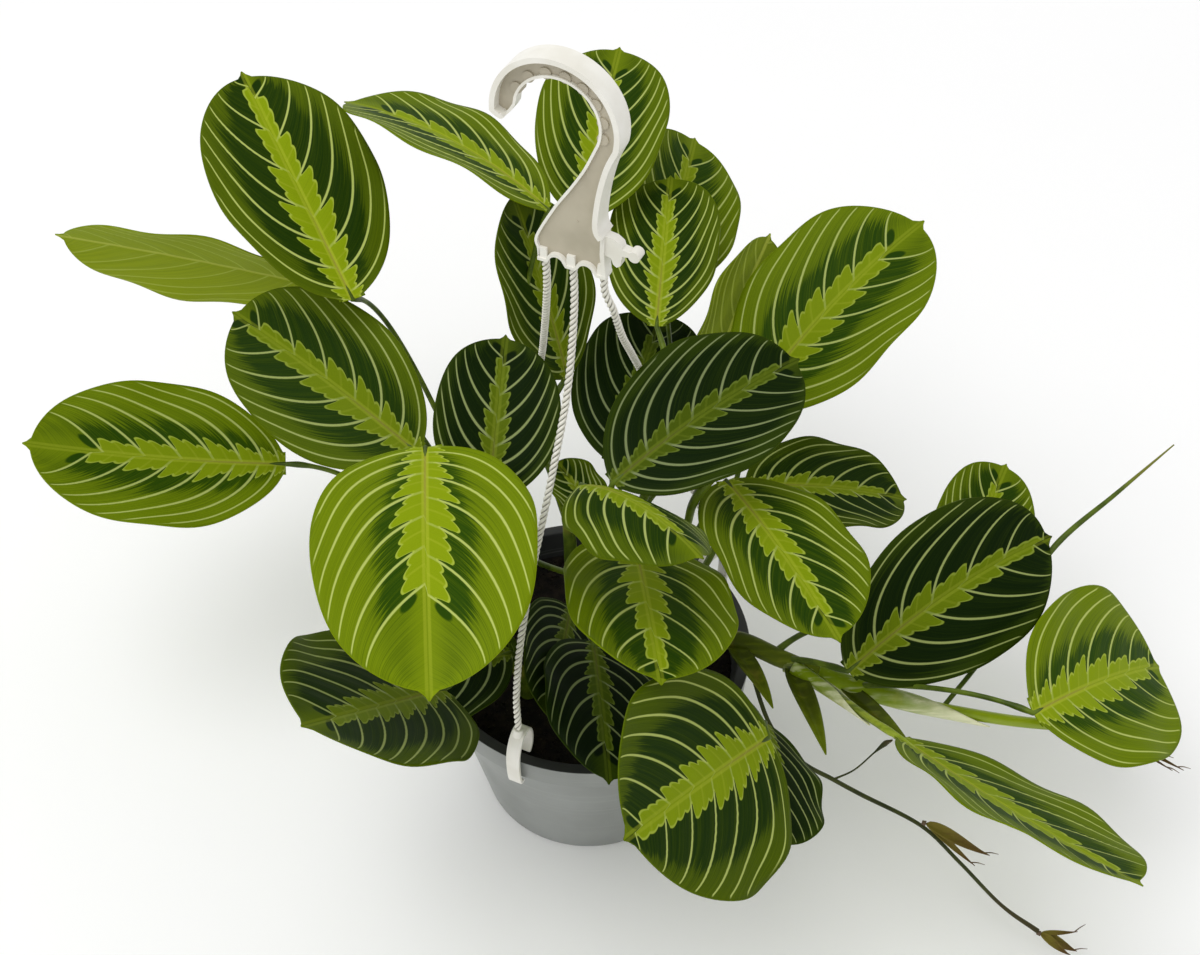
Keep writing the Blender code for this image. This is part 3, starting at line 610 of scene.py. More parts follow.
def midrib(leaf):
    base, heading, pitch, roll, length, _, droop, _ = leaf
    places = [np.array(base, float)]
    for i in range(MIDRIB_STEPS):
        along = frame_at(heading, pitch - droop * (i + 0.5) / MIDRIB_STEPS, roll)[0]
        places.append(places[-1] + along * length / MIDRIB_STEPS)
    return np.array(places)


def along_spine(spine, v):
    """The points at shares v of a midrib."""
    place = v * (len(spine) - 1)
    low = np.minimum(place.astype(int), len(spine) - 2)
    return spine[low] + (spine[low + 1] - spine[low]) * (place - low)[:, None]


# %% Where the side veins run
LEAST_GAP, MOST_GAP = 0.8, 30.0


def vein_count(x, y, half, length, veins, last):
    """Counts the side veins from the base at x mm across and y mm along a flat leaf.

    At the midrib the count runs from 0 to `veins` at a share `last` of the length. At the margin
    it starts far behind and catches up at the tip, so each vein arches forward on its way out."""
    v = np.clip(y / length, 0.0005, 0.9995)
    u = np.clip(np.abs(x) / np.maximum(half * half_width(v), 0.2), 0.0, 1.0)
    at_midrib = veins * (v / last) ** 0.62
    at_margin = at_midrib * (0.10 + 0.90 * v**3.6)
    return at_midrib + (at_margin - at_midrib) * (0.42 * u + 0.58 * u**3)


def vein_fields(x, y, *leaf):
    """The vein count and the distance in mm from one vein to the next."""
    d = 0.4
    slope_x = (vein_count(np.abs(x) + d, y, *leaf)
               - vein_count(np.maximum(np.abs(x) - d, 0), y, *leaf)) / (2 * d)
    slope_y = (vein_count(x, y + d, *leaf) - vein_count(x, y - d, *leaf)) / (2 * d)
    gap = 1.0 / np.maximum(np.hypot(slope_x, slope_y), 1e-3)
    return vein_count(x, y, *leaf), np.clip(gap, LEAST_GAP, MOST_GAP)


# %% One blade as arrays: points, faces and what the shader reads
VEINS_A_SIDE = (7, 7, 8)
UNDERSIDE_UP = {(185, 20, -120), (55, 60, 75)}  # two blades that lie turned over


def grid_faces(rows, columns):
    """The faces of a grid whose points are counted row by row."""
    n = np.arange(rows * columns).reshape(rows, columns)
    return np.stack([n[:-1, :-1], n[:-1, 1:], n[1:, 1:], n[1:, :-1]], -1).reshape(-1, 4)


def blade_part(leaf, phase, look, seed):
    _, heading, pitch, roll, length, width, droop, fold = leaf
    tone, glow, last = look
    veins = random.Random(seed).choice(VEINS_A_SIDE)
    half, rise = width / 2, math.radians(fold)

    # rows crowd together towards both ends, and two columns lie close beside the midrib
    v = 0.5 - 0.5 * np.cos(np.pi * np.linspace(0.012, 0.988, BLADE_ROWS + 1))
    v = np.array([0.0, *v[1:-1], 1.0, 1.0 + TIP_LENGTH / 2, 1.0 + TIP_LENGTH])
    u = np.sort([*np.linspace(-1, 1, BLADE_COLUMNS + 1), -BESIDE_MIDRIB, BESIDE_MIDRIB])
    centre = along_spine(midrib(leaf), v)
    frames = [frame_at(heading, pitch - droop * s, roll) for s in v]
    side, normal = (np.array([f[axis] for f in frames]) for axis in (1, 2))
    reach_out = np.maximum(half * outline_width(v), 0.25)[:, None]
    U, V = np.meshgrid(u, v)
    off_midrib = np.abs(U)
    uneven = 1.0 + 0.025 * np.sin(np.pi * (2.6 * V + 0.9 * np.sign(U)) + phase) * np.sin(np.pi * V)
    X, Y = U * reach_out * uneven, V * length
    count, gap = vein_fields(X, Y, half, length, veins, last)

    # the fold, the waves at the edge, and the swell between the veins
    wave = EDGE_WAVE * off_midrib ** 3 * np.sin(math.tau * EDGE_WAVES * V + phase + 2 * U)
    lift = reach_out * off_midrib ** 1.5 * math.sin(rise) + wave * reach_out * 2 / width
    room = np.clip((1 - off_midrib) * 3, 0, 1) * np.clip(np.abs(X) / 3, 0, 1)
    room *= np.clip(count, 0, 1) * np.clip((1 - V) * 6, 0, 1)
    lift = lift + SWELL * np.minimum(gap, 10) * np.abs(np.sin(np.pi * count)) ** 0.8 * room
    points = (centre[:, None] + (X * math.cos(rise))[..., None] * side[:, None]
              + lift[..., None] * normal[:, None])
    faces = grid_faces(len(v), len(u))
    if (heading, pitch, roll) in UNDERSIDE_UP:
        faces = faces[:, ::-1]

    reach = half * (0.17 + 0.14 * np.clip(V / 0.35, 0, 1) - 0.20 * np.clip(V - 0.42, 0, 1) / 0.5)
    reach *= 0.76 + 0.24 * min(1.0, tone + 0.5 * glow)
    spread = half * half_width(np.clip(V, 0.001, 0.999)) * (0.86 - 0.44 * tone)
    margin = np.minimum((1 - off_midrib) * reach_out, (1 + TIP_LENGTH - V) * length)
    values = (count + VEIN_STAGGER * np.sign(X), gap, np.abs(X), V, margin, reach, spread, tone,
              seed % 17, glow, veins)
    return points.reshape(-1, 3), faces, {
        name: (value + np.zeros_like(V)).ravel() for name, value in zip(BLADE_VALUES, values)}


# %% Several sheets in one object, made solid
def sheets_object(name, sheets, thickness, *finishes):
    """Each sheet is (points in mm, faces, values by name). A second finish is the under face's."""
    starts = np.cumsum([0, *(len(points) for points, _, _ in sheets)])
    points = np.concatenate([points for points, _, _ in sheets]) * MM
    faces = np.concatenate([faces + start for (_, faces, _), start in zip(sheets, starts)])
    mesh = bpy.data.meshes.new(name)
    mesh.from_pydata(points.tolist(), [], faces.tolist())
    for key in sheets[0][2]:
        carried = np.concatenate([values[key] for _, _, values in sheets]).astype(np.float32)
        mesh.attributes.new(key, "FLOAT", "POINT").data.foreach_set("value", carried)
    for finish in finishes:
        mesh.materials.append(finish)
    mesh.shade_smooth()
    made = placed(name, mesh)
    thick = made.modifiers.new("thickness", "SOLIDIFY")
    thick.thickness, thick.offset = thickness * MM, 0.0
    thick.material_offset = len(finishes) - 1
    return made


def blades_object(name, blades):
    """Each blade is (leaf, phase, look, seed)."""
    return sheets_object(name, [blade_part(*blade) for blade in blades], BLADE_THICK,
                         LEAF_UPPER, LEAF_UNDER)


# %% [markdown]
# ## Stalks
#
# Each leaf stands on a thin stalk that leaves the stem in a curve and runs on into the midrib.
# Near the blade it has a pulvinus, the slightly thicker joint that lets a prayer plant fold its
# leaves at night. The stalks of one stem are paths in one curve object, and a tree sweeps a round
# profile along them all.

# %% The tree that sweeps a profile along every path
def sweep_tree():
    tree, given = new_tree("sweep_along_paths", Sides=12)
    factor = add(tree, "GeometryNodeSplineParameter").outputs["Factor"]
    kept = capture(tree, given["Geometry"], along=("FLOAT", factor))
    tube = sweep_circle(tree, kept[0], 1.0, given["Sides"],
                        add(tree, "GeometryNodeInputRadius").outputs[0])
    return finish_tree(tree, store(tree, tube, "along", kept[1]), given)


SWEEP = sweep_tree()


def tubes(name, paths, finish, **values):
    return run_tree(path_object(paths), SWEEP, name, Finish=finish, **values)


# %% Stalk material: streaked green, paler and browner at the joint under the blade
def stalk_material(name, green, pale, joint, roughness=0.42):
    made, tree = new_material(name, roughness, 0.2)
    streaks, specks = noise(tree, 140, 3), noise(tree, 900)
    colour = (streaks.rise(0.3, 0.75) * 0.8).blend(green, pale)
    colour = (read(tree, "along")[0].rise(0.80, 0.9) * 0.8).blend(colour, joint)
    colour = (specks.rise(0.62, 0.75) * 0.35).blend(colour, joint)
    return coat(made, colour, streaks * 0.6 + specks * 0.4, 0.35, 0.15)


STALK = stalk_material("leaf_stalk", rgb(58, 76, 14), rgb(104, 124, 28), rgb(122, 122, 42))

# %% A stalk's path, and other tubes
STALK_R, STALK_END_R, STALK_SLIM, STALK_STEP = 1.9, 1.2, 0.72, 2.5
PULVINUS_SWELL, PULVINUS_FROM_BLADE, PULVINUS_LENGTH = 0.42, 6.0, 4.0
# where the run inside the midrib goes, in steps of the midrib, and its radius there
RUN_IN_MIDRIB = ((3, 0.95), (8, 0.8), (14, 0.62), (20, 0.45), (27, 0.3))


def bezier(points, count):
    """Points on the curve from the first point to the last, with the other two as its handles."""
    a, b, c, d = (Vector(p) for p in points)
    return [(1 - t) ** 3 * a + 3 * (1 - t) ** 2 * t * b + 3 * (1 - t) * t**2 * c + t**3 * d
            for t in (i / (count - 1) for i in range(count))]


def stalk_path(start, handles, leaf, radius=STALK_R):
    """Points and radii, with the pulvinus near the blade and the run inside the midrib."""
    length = (Vector(leaf[0]) - Vector(start)).length
    count = max(16, round(length / STALK_STEP))
    route = bezier((start, *handles, leaf[0]), count)
    spine, normal = midrib(leaf), Vector(frame_at(*leaf[1:4])[2])
    slim = radius * STALK_SLIM
    radii = []
    for i in range(count):
        left = (count - 1 - i) / (count - 1) * length
        share = i / (count - 1)
        size = slim + (STALK_END_R * 0.85 - slim) * share
        size += (radius - slim) * max(0.0, 1 - share * 6) ** 2
        size += PULVINUS_SWELL * math.exp(-((left - PULVINUS_FROM_BLADE) / PULVINUS_LENGTH) ** 2)
        radii.append(size)
    # the run lies just under the upper face, so that it shows as a rib on the underside only
    for step, size in RUN_IN_MIDRIB:
        route.append(Vector(spine[step]) - (0.95 * size - 0.1) * normal)
        radii.append(size)
    return route, radii


def smooth_tube(points, radii, spacing=2.5):
    """A path through points with a radius at each, both made smooth."""
    route = smooth_route(points, spacing)
    marks, steps = (np.cumsum([0, *steps_along(line)]) for line in (points, route))
    return route, list(np.interp(steps * marks[-1] / steps[-1], marks, radii))


# %% The leafy stems
# for each stem: its root in the soil, its top, and a row for each leaf, with the two handles of
# its stalk's curve, the blade (base, heading, pitch, roll, length, width, droop, fold) and its
# look: the tone of the blade, the glow of its feather, and where its last side vein starts
# low tones and glows are partly the leaf's age and partly painted shade on leaves deep in the plant
LEAFY_STEMS = {
    "back_left": ((-30, 25), (-38, 34, 108), [
        (-60, 76, 120, -90, 116, 190, -99, 75, 215, 120, 25, 5, 114, 72, 0, 8, 0.5, 1.0, 0.93),
        (-68, 66, 130, -95, 98, 155, -121, 130, 177, 185, 20, -120, 114, 74, 5, 8, 0.85, 0.7, 0.8),
    ]),
    "left": ((-40, 4), (-47, 8, 104), [
        (-55, 18, 124, -64, 27, 144, -72, 37, 164, 145, 20, -36, 102, 66, 10, 8, 0.5, 0.55, 0.9),
        (-73, 36, 117, -98, 64, 131, -135, 64, 130, 190, 10, -20, 108, 70, -10, 8, 0.85, 0.75,
         0.74)]),
    "front_left": ((-26, -20), (-30, -23, 98), [
        (-46, -4, 135, -62, 7, 173, -63, -6, 209, 275, 15, 0, 116, 82, 35, 8, 1.0, 1.0, 0.66),
        (-29, -11, 132, -49, -53, 129, -56, -63, 133, 240, 40, -15, 100, 74, 0, 8, 0.35, 0.5, 0.82),
        (-33, -24, 104, -30, -26, 108, -32, -27, 112, 205, 10, -5, 80, 60, 15, 8, 0.05, 0.2, 0.8)]),
    "back": ((-8, 44), (-10, 52, 112), [
        (-23, 68, 136, -25, 71, 150, -11, 86, 164, 130, 70, 15, 84, 56, 10, 8, 0.35, 0.5, 0.8),
        (-21, 67, 149, -46, 75, 163, -19, 106, 239, 155, 35, 20, 98, 64, 40, 8, 0.75, 0.9, 0.8),
        (-33, 87, 148, -18, 115, 177, -5, 144, 206, 80, 30, 5, 94, 60, 20, 8, 0.6, 0.8, 0.8)]),
    "back_right": ((16, 42), (20, 54, 112), [
        (37, 61, 158, 39, 70, 148, 32, 140, 171, 80, 25, 30, 92, 60, 25, 8, 0.7, 0.75, 0.8),
        (20, 55, 126, 45, 60, 156, 28, 103, 179, 85, 25, -5, 80, 52, 15, 8, 0.45, 0.85, 0.85),
        (35, 73, 124, 53, 81, 126, 51, 97, 146, 55, 60, 75, 74, 50, 15, 8, 0.55, 0.6, 0.8)]),
    "right": ((42, 18), (47, 24, 104), [
        (59, 34, 120, 66, 56, 142, 69, 73, 161, 35, 50, 5, 106, 76, 30, 8, 0.75, 0.7, 0.8),
        (56, 28, 118, 60, 38, 130, 67, 48, 136, 10, -5, 5, 76, 52, 20, 8, 0.32, 0.6, 0.85)]),
    "middle": ((0, 20), (0, 20, 110), [
        (-19, 12, 122, -40, -10, 155, -39, -14, 188, 85, 40, 10, 66, 50, 15, 8, 0.08, 0.3, 0.85),
        (5, 34, 119, 11, 48, 128, 9, 61, 137, 75, 15, 5, 90, 58, 15, 8, 0.05, 0.12, 0.8),
        (1, 5, 139, 2, -10, 169, 9, -13, 198, 35, 25, 15, 90, 60, 25, 8, 0.1, 0.16, 0.9),
        (0, 6, 128, 1, 0, 150, 4, -8, 170, 140, 46, 0, 30, 24, 10, 8, 0.45, 0.5, 0.8)]),
    "front": ((10, -6), (10, -8, 106), [
        (5, -12, 140, 0, -18, 175, -3, -25, 209, 305, 40, -15, 78, 50, 40, -28, 0.45, 0.7, 0.8),
        (13, -10, 127, 15, -13, 147, 18, -15, 166, 275, 25, -10, 96, 66, 15, 8, 0.7, 0.85, 0.92)]),
    "front_right": ((27, 6), (31, 7, 108), [
        (41, 13, 131, 49, 20, 152, 55, 13, 174, 295, 10, -5, 90, 58, 20, 8, 0.68, 0.85, 0.86)]),
    "low": ((-10, 6), (-10, 6, 92), [
        (-10, 7, 97, -9, 9, 101, -8, 5, 103, 265, 20, -40, 70, 46, 20, 8, 0.05, 0.18, 0.8),
        (13, 2, 100, 2, -4, 106, 2, -16, 106, 275, 20, -20, 78, 52, 25, 8, 0.0, 0.15, 0.8)]),
    "rim": ((30, -32), (36, -38, 94), [
        (46, -49, 108, 58, -44, 132, 70, -82, 130, 235, 30, -40, 108, 84, 5, 8, 0.4, 0.85, 0.94),
        (48, -44, 98, 60, -50, 101, 72, -56, 105, 270, 30, -40, 72, 48, 30, 8, 0.1, 0.4, 0.8)]),
}
SOIL_TOP, ROOT_DEPTH = 76.0, 12.0
STEM_R, STEM_END_R = 3.4, 2.7
ROLLED_LEAVES = {
    "front_right": ([(31, 7, 106), (36, 2, 140), (39, -5, 166), (41, -10, 186), (50, -3, 197),
                     (58, 2, 205)], [1.8, 1.7, 1.6, 1.8, 2.6, 0.4]),
    "trailing": ([(150, -30, 82), (170, -8, 92), (188, 16, 106), (204, 34, 118), (226, 43, 139),
                  (248, 52, 160)], [1.1, 1.1, 1.2, 1.4, 1.0, 0.3]),
}


def leaf_of(row):
    """A leaf's row as its stalk's two handles, its blade and its look."""
    return (row[:3], row[3:6]), (row[6:9], *row[9:16]), row[16:]


# %% Build each leafy stem: its blades, and its stem with the stalks
for name, ((x, y), top, rows) in LEAFY_STEMS.items():
    halfway = Vector(((x + top[0]) / 2, (y + top[1]) / 2, (SOIL_TOP + top[2]) / 2 + 2))
    fork = halfway.lerp(Vector(top), 0.7)
    stem = [(x, y, SOIL_TOP - ROOT_DEPTH), (x, y, SOIL_TOP + 2), halfway, top]
    blades, paths = [], [smooth_tube(stem, [STEM_R, STEM_R, (STEM_R + STEM_END_R) / 2, STEM_END_R])]
    for number, (handles, leaf, look) in enumerate(map(leaf_of, rows)):
        phase, seed = 1.7 * number + 0.1 * leaf[1], 10 * len(name) + number
        blades.append((leaf, phase, look, seed))
        paths.append(stalk_path(fork, handles, leaf))
    if name in ROLLED_LEAVES:
        paths.append(smooth_tube(*ROLLED_LEAVES[name]))
    for piece in (blades_object(f"blades_{name}", blades), tubes(f"stalks_{name}", paths, STALK)):
        stand_in(piece, f"leafy_stem_{name}")
    print(name, len(rows), "leaves,", len(piece.data.polygons), "stalk faces")

# %% [markdown]
# ## The trailing stem
#
# One long stem leans over the lip. It is yellow-green and juicy, its joints are wrapped in pale
# sheaths with brown papery ends, and a wiry flower stalk hangs from it to two dried bracts. The
# stem and its stalks are swept like the others. A sheath is a strip of tube: it wraps the stem's
# path, opens along one side and narrows to a point, so it is laid out as a grid of angle and
# distance and then made solid, 0.3 to 0.5 mm thick.

# %% Juicy stem, sheath and dried finishes
def streaked(name, near, far, stain, roughness, relief=0.3):
    """Fibres that run along a piece, from its near colour to its far one, with stained blots."""
    made, tree = new_material(name, roughness, 0.1)
    fibres, blots = noise(tree, 1.0, 3, stretched(tree, 60, 400, 400)), noise(tree, 90, 3)
    colour = (read(tree, "along")[0] + (fibres - 0.5) * 0.5).rise(0.25, 0.95).blend(near, far)
    colour = (fibres.rise(0.5, 0.7) * 0.4).blend(colour, far)
    colour = (blots.rise(0.55, 0.75) * 0.5).blend(colour, stain)
    return coat(made, colour, fibres * 0.7 + blots * 0.3, relief, 0.2)


def young_stem_material():
    """Olive where it leaves the soil and bright towards its far end."""
    made, tree = new_material("young_stem", 0.34, 0.45)
    fibres = noise(tree, 1.0, where=stretched(tree, 35, 420, 420))
    colour = read(tree, "along")[0].rise(0.12, 0.5).blend(rgb(60, 74, 8), rgb(140, 160, 16))
    colour = (fibres.rise(0.45, 0.7) * 0.5).blend(colour, rgb(170, 184, 50))
    colour = (fibres.rise(0.45, 0.2) * 0.45).blend(colour, rgb(76, 98, 8))
    return coat(made, colour, fibres, 0.3, 0.15)


YOUNG_STEM = young_stem_material()
SHEATH_GREEN = streaked("green_sheath", rgb(58, 68, 6), rgb(100, 114, 14), rgb(118, 108, 40), 0.45)
# the pale sheath's near-white far colour is partly the thin membrane's own pallor and partly a
# painted highlight
SHEATH_PALE_HIGHLIT = streaked("pale_sheath_painted_highlight", rgb(118, 140, 12), rgb(232, 232, 196), rgb(172, 176, 80), 0.4)
DRIED = streaked("dried_bract", rgb(116, 106, 44), rgb(92, 70, 40), rgb(128, 106, 70), 0.75, 0.6)
WIRY = stalk_material("wiry_stalk", rgb(38, 44, 14), rgb(66, 72, 28), rgb(62, 54, 28), 0.5)
THREAD = stalk_material("dry_thread", rgb(92, 76, 60), rgb(120, 102, 84), rgb(84, 64, 50), 0.7)

# %% The trailing stem's own paths and leaves
TRAIL = [(45, -6, 92), (62, -12, 104), (82, -20, 101), (102, -25, 95), (131, -30, 88),
         (153, -30, 81), (184, -31, 75), (218, -30, 70)]
TRAIL_X, TRAIL_Y, TRAIL_R = 40, -4, (3.8, 2.3)
# for each leaf: where its stalk starts, how thick it is there, and a row as for the leafy stems
TRAIL_LEAVES = [
    ((82, -20, 101), 2.2, (92, -24, 107, 99, -29, 109, 107, -33, 110, 35, 25, 40, 112, 66, 35, 8,
                           0.1, 0.5, 0.95)),
    ((78, -18, 102), 1.9, (96, -2, 112, 130, 10, 92, 160, 20, 101, 65, 25, 15, 66, 44, 15, 8,
                           0.65, 0.75, 0.8)),
    ((112, -27, 93), 1.7, (132, -34, 104, 158, -46, 116, 178, -58, 116, 40, -15, 30, 104, 80, 20, 8,
                           0.88, 0.95, 0.9)),
    ((84, -21, 100), 4.2, (98, -32, 100, 112, -46, 98, 127, -60, 101, 310, 10, -35, 114, 70, -10, 8,
                           0.74, 0.85, 0.9)),
]
FLOWER_STALK = ([(66, -14, 101), (76, -40, 84), (88, -56, 80), (102, -62, 75), (114, -66, 70),
                 (139, -74, 60), (155, -85, 50), (174, -94, 32), (190, -100, 22)],
                [*[0.95] * 5, 0.85, 0.8, 0.8, 1.1])
TENDRIL = ([(102, -62, 75), (110, -62, 82), (118, -57, 87), (122, -56, 92), (124, -58, 97)],
           [0.5, 0.35, 0.35, 1.2, 0.4], 1.2)
GREEN_THICK, PALE_THICK, BRACT_THICK = 0.5, 0.4, 0.3
# narrow green blades, given like a leaf's blade
LANCES = [((60, -14, 103), 300, 5, 0, 34, 9, 30, 25), ((84, -22, 100), 290, -5, 0, 42, 10, 20, 25),
          ((106, -27, 94), 315, -10, 0, 44, 9, 5, 25)]

trail_route = [(TRAIL_X, TRAIL_Y, SOIL_TOP - ROOT_DEPTH), (TRAIL_X, TRAIL_Y, SOIL_TOP + 2),
               (TRAIL_X + 1, TRAIL_Y, SOIL_TOP + 8), *TRAIL]
stem_path = smooth_tube(trail_route, list(np.linspace(*TRAIL_R, len(trail_route))))


# %% Lance-shaped pieces: green sheaths and dried bracts
def strip_part(points, columns):
    """A sheet whose points come in rows; it carries how far along it each row is."""
    rows = len(points) // columns
    return (np.array(points), grid_faces(rows, columns),
            {"along": np.repeat(np.linspace(0, 1, rows), columns)})


def lance_part(leaf, curl=0.0, rows=22, columns=8):
    """A narrow pointed blade, folded along its middle."""
    _, heading, pitch, roll, _, width, droop, fold = leaf
    v = np.linspace(0.0, 1.0, rows + 1)
    half = np.maximum(width / 2 * np.sin(np.pi * v**0.6) ** 0.8, 0.12)
    points = []
    for share, middle, reach in zip(v, along_spine(midrib(leaf), v), half):
        _, side, normal = frame_at(heading, pitch - droop * share, roll + curl * share)
        for u in np.linspace(-1, 1, columns + 1):
            lift = reach * abs(u) ** 1.3 * math.sin(math.radians(fold + 30 * share))
            points.append(middle + reach * u * math.cos(math.radians(fold)) * side + lift * normal)
    return strip_part(points, columns + 1)


# %% A sheath that wraps a stretch of a path
def wrap_part(path, start, end, open_side, slack=1.12, wrap=165.0, rows=26, columns=16):
    """A strip of tube round a path from one share of it to another, narrowing to a point."""
    route, radii = path
    marks = np.linspace(0, 1, len(route))
    shares = start + (end - start) * np.linspace(0, 1, rows + 1)
    line = np.stack([np.interp(shares, marks, [p[axis] for p in route]) for axis in range(3)], 1)
    size = np.interp(shares, marks, radii)
    ahead = np.gradient(line, axis=0)
    ahead /= np.linalg.norm(ahead, axis=1)[:, None]
    points = []
    for row in range(rows + 1):
        t = row / rows
        away = np.array(open_side, float)
        away -= away @ ahead[row] * ahead[row]
        away /= np.linalg.norm(away)
        beside = np.cross(ahead[row], away)
        # the strip narrows towards its point, and there it flares away from the stem
        half = math.radians(wrap) * min(1.0, (1.02 - t) * 1.9) ** 0.8
        radius = size[row] * slack + 0.25 + 0.9 * max(0.0, t - 0.6) ** 2 * 3
        for angle in math.pi + half * np.linspace(-1, 1, columns + 1):
            points.append(line[row] + radius * (math.cos(angle) * away + math.sin(angle) * beside))
    return strip_part(points, columns + 1)


# %% Build the trailing stem
blades, stalks = [], []
for number, (start, radius, row) in enumerate(TRAIL_LEAVES):
    handles, leaf, look = leaf_of(row)
    blades.append((leaf, 2.3 * number, look, 200 + number))
    stalks.append(stalk_path(start, handles, leaf, radius))
trail_pieces = [
    blades_object("blades_trailing", blades),
    tubes("trailing_stem_core", [stem_path, stalks[3]], YOUNG_STEM, Sides=20),
    tubes("stalks_trailing", [*stalks[:3], smooth_tube(*ROLLED_LEAVES["trailing"])], STALK),
    sheets_object("sheaths_green", [*map(lance_part, LANCES),
                                    wrap_part(stem_path, 0.16, 0.46, (0.2, -0.4, -1))],
                  GREEN_THICK, SHEATH_GREEN),
    # these sheaths carry a painted highlight towards their far ends
    sheets_object("sheaths_pale_highlit", [wrap_part(stem_path, 0.42, 0.78, (0.3, 0.8, 0.5), 1.35),
                                   wrap_part(stalks[3], 0.05, 0.62, (0.2, 0.6, 0.8), 1.1)],
                  PALE_THICK, SHEATH_PALE_HIGHLIT),
    tubes("flower_stalk", [smooth_tube(*FLOWER_STALK), smooth_tube(*TENDRIL)], WIRY),
]
for piece in trail_pieces:
    stand_in(piece, "trailing_stem")
print("trailing stem:", len(trail_pieces), "pieces")

# %% The dried bracts and their threads
# for each tuft: where it starts, and its bracts as (heading, pitch, length, width)
DRIED_TUFTS = {
    "dried_bract_middle": ((140.5, -74.5, 62.4), [(338, -8, 29, 7), (330, -22, 27, 4)]),
    "dried_flower_end": ((191.2, -100.7, 21.2), [(350, -22, 19, 6), (330, -14, 15, 5),
                                                 (5, 4, 16, 3)]),
    "dried_stem_tip": ((219.6, -30, 69.8), [(332, -2, 38, 4), (322, 4, 34, 3), (340, -8, 30, 3)]),
}
BRACT_ROLL, BRACT_DROOP, BRACT_FOLD, BRACT_CURL = 15, 12, 34, 70
dice = random.Random(5)
for name, (start, spikes) in DRIED_TUFTS.items():
    bracts, threads = [], [smooth_tube([start, Vector(start) + Vector((-1.5, 0.4, 0.2))],
                                       [1.25, 1.0], 0.5)]
    for heading, pitch, length, width in spikes:
        bract, spine = ((start, heading, pitch, BRACT_ROLL, length, wide, BRACT_DROOP, BRACT_FOLD)
                        for wide in (width * 0.8, width))
        bracts.append(lance_part(bract, BRACT_CURL))
        tip = midrib(spine)[-4]
        sway = frame_at(heading + dice.uniform(-25, 25), pitch + dice.uniform(-5, 30), 0)[0]
        threads.append(smooth_tube([tip, tip + 2.5 * sway + (0, 0, 0.6), tip + 5.5 * sway],
                                   [0.3, 0.24, 0.12], 0.7))
    for piece in (sheets_object(f"{name}_bracts", bracts, BRACT_THICK, DRIED),
                  tubes(f"{name}_threads", threads, THREAD, Sides=6)):
        stand_in(piece, name)
print("dried tufts:", len(DRIED_TUFTS))

# %% [markdown]
# ## The pot
#
# The pot is a thin grey moulding, turned from one profile: a tapered wall, a wide lip and a skirt
# that hangs from it. Rounded corners in the profile give the edges their light. Its inside and the
# top of the lip are darker, and the faint rings and scratches of a handled pot are in its finish.

# %% Plastic for the outside and for the inside
def pot_material(name, tint, shade, roughness):
    made, tree = new_material(name, roughness, 0.4)
    cloud, grain = noise(tree, 22, 4), noise(tree, 700)
    rings = noise(tree, 1.0, where=stretched(tree, 6, 6, 700))
    colour = cloud.rise(0.3, 0.75).blend(tint, shade)
    colour = (rings.rise(0.6, 0.75) * 0.18).blend(colour, rgb(176, 178, 174))
    return coat(made, colour, grain * 0.6 + rings * 0.4, 0.25, 0.1,
                cloud * 0.25 + (roughness - 0.12))


POT_OUTSIDE = pot_material("pot_outside", rgb(146, 149, 146), rgb(132, 135, 131), 0.45)
POT_INSIDE = pot_material("pot_inside", rgb(52, 53, 54), rgb(34, 35, 36), 0.5)

# %% The profile, with each corner rounded
POT_RIM_R, POT_BASE_R, POT_HEIGHT, POT_WALL = 70.0, 47.0, 88.0, 1.4
LIP_WIDTH, LIP_THICK, SKIRT_DROP, SKIRT_THICK, SKIRT_DRAFT = 4.8, 1.3, 11.0, 1.2, 0.8
BASE_THICK, BASE_CHAMFER = 1.6, 0.8
DRAIN_HOLES, DRAIN_R, DRAIN_CIRCLE_R, DRILL_LENGTH, DRILL_SIDES = 6, 4.0, 29.0, 8, 32
POT_STEPS = 120


def wall_radius(z):
    top = POT_RIM_R - LIP_WIDTH + POT_WALL
    return POT_BASE_R + (top - POT_BASE_R) * z / POT_HEIGHT


def rounded(profile, radius, steps=4):
    """A polyline with each inner corner cut to a small arc."""
    profile = [Vector(p) for p in profile]
    points = [profile[0]]
    for before, here, after in zip(profile, profile[1:], profile[2:]):
        cut = min(radius, (before - here).length * 0.45, (after - here).length * 0.45)
        a = here + (before - here).normalized() * cut
        b = here + (after - here).normalized() * cut
        points += [((1 - t) ** 2 * a + 2 * t * (1 - t) * here + t * t * b)
                   for t in (i / steps for i in range(steps + 1))]
    return [*points, profile[-1]]


lip_low, skirt_low = POT_HEIGHT - LIP_THICK, POT_HEIGHT - SKIRT_DROP
lip_middle = (POT_RIM_R - 2.2, POT_HEIGHT)
outside = rounded([lip_middle, (POT_RIM_R, POT_HEIGHT), (POT_RIM_R - SKIRT_DRAFT, skirt_low),
                   (POT_RIM_R - SKIRT_DRAFT - SKIRT_THICK, skirt_low),
                   (POT_RIM_R - SKIRT_THICK, lip_low), (wall_radius(lip_low), lip_low),
                   (wall_radius(BASE_CHAMFER), BASE_CHAMFER), (POT_BASE_R - BASE_CHAMFER, 0.0),
                   (0.0, 0.0)], 0.55)
inside = rounded([(0.0, BASE_THICK), (wall_radius(BASE_THICK) - POT_WALL, BASE_THICK),
                  (POT_RIM_R - LIP_WIDTH, POT_HEIGHT), lip_middle], 0.8)


# %% Turn the profile and drill the drain holes
MERGE_WITHIN, SHARP_FROM, FACES_UP = 0.005, math.radians(35), 0.75


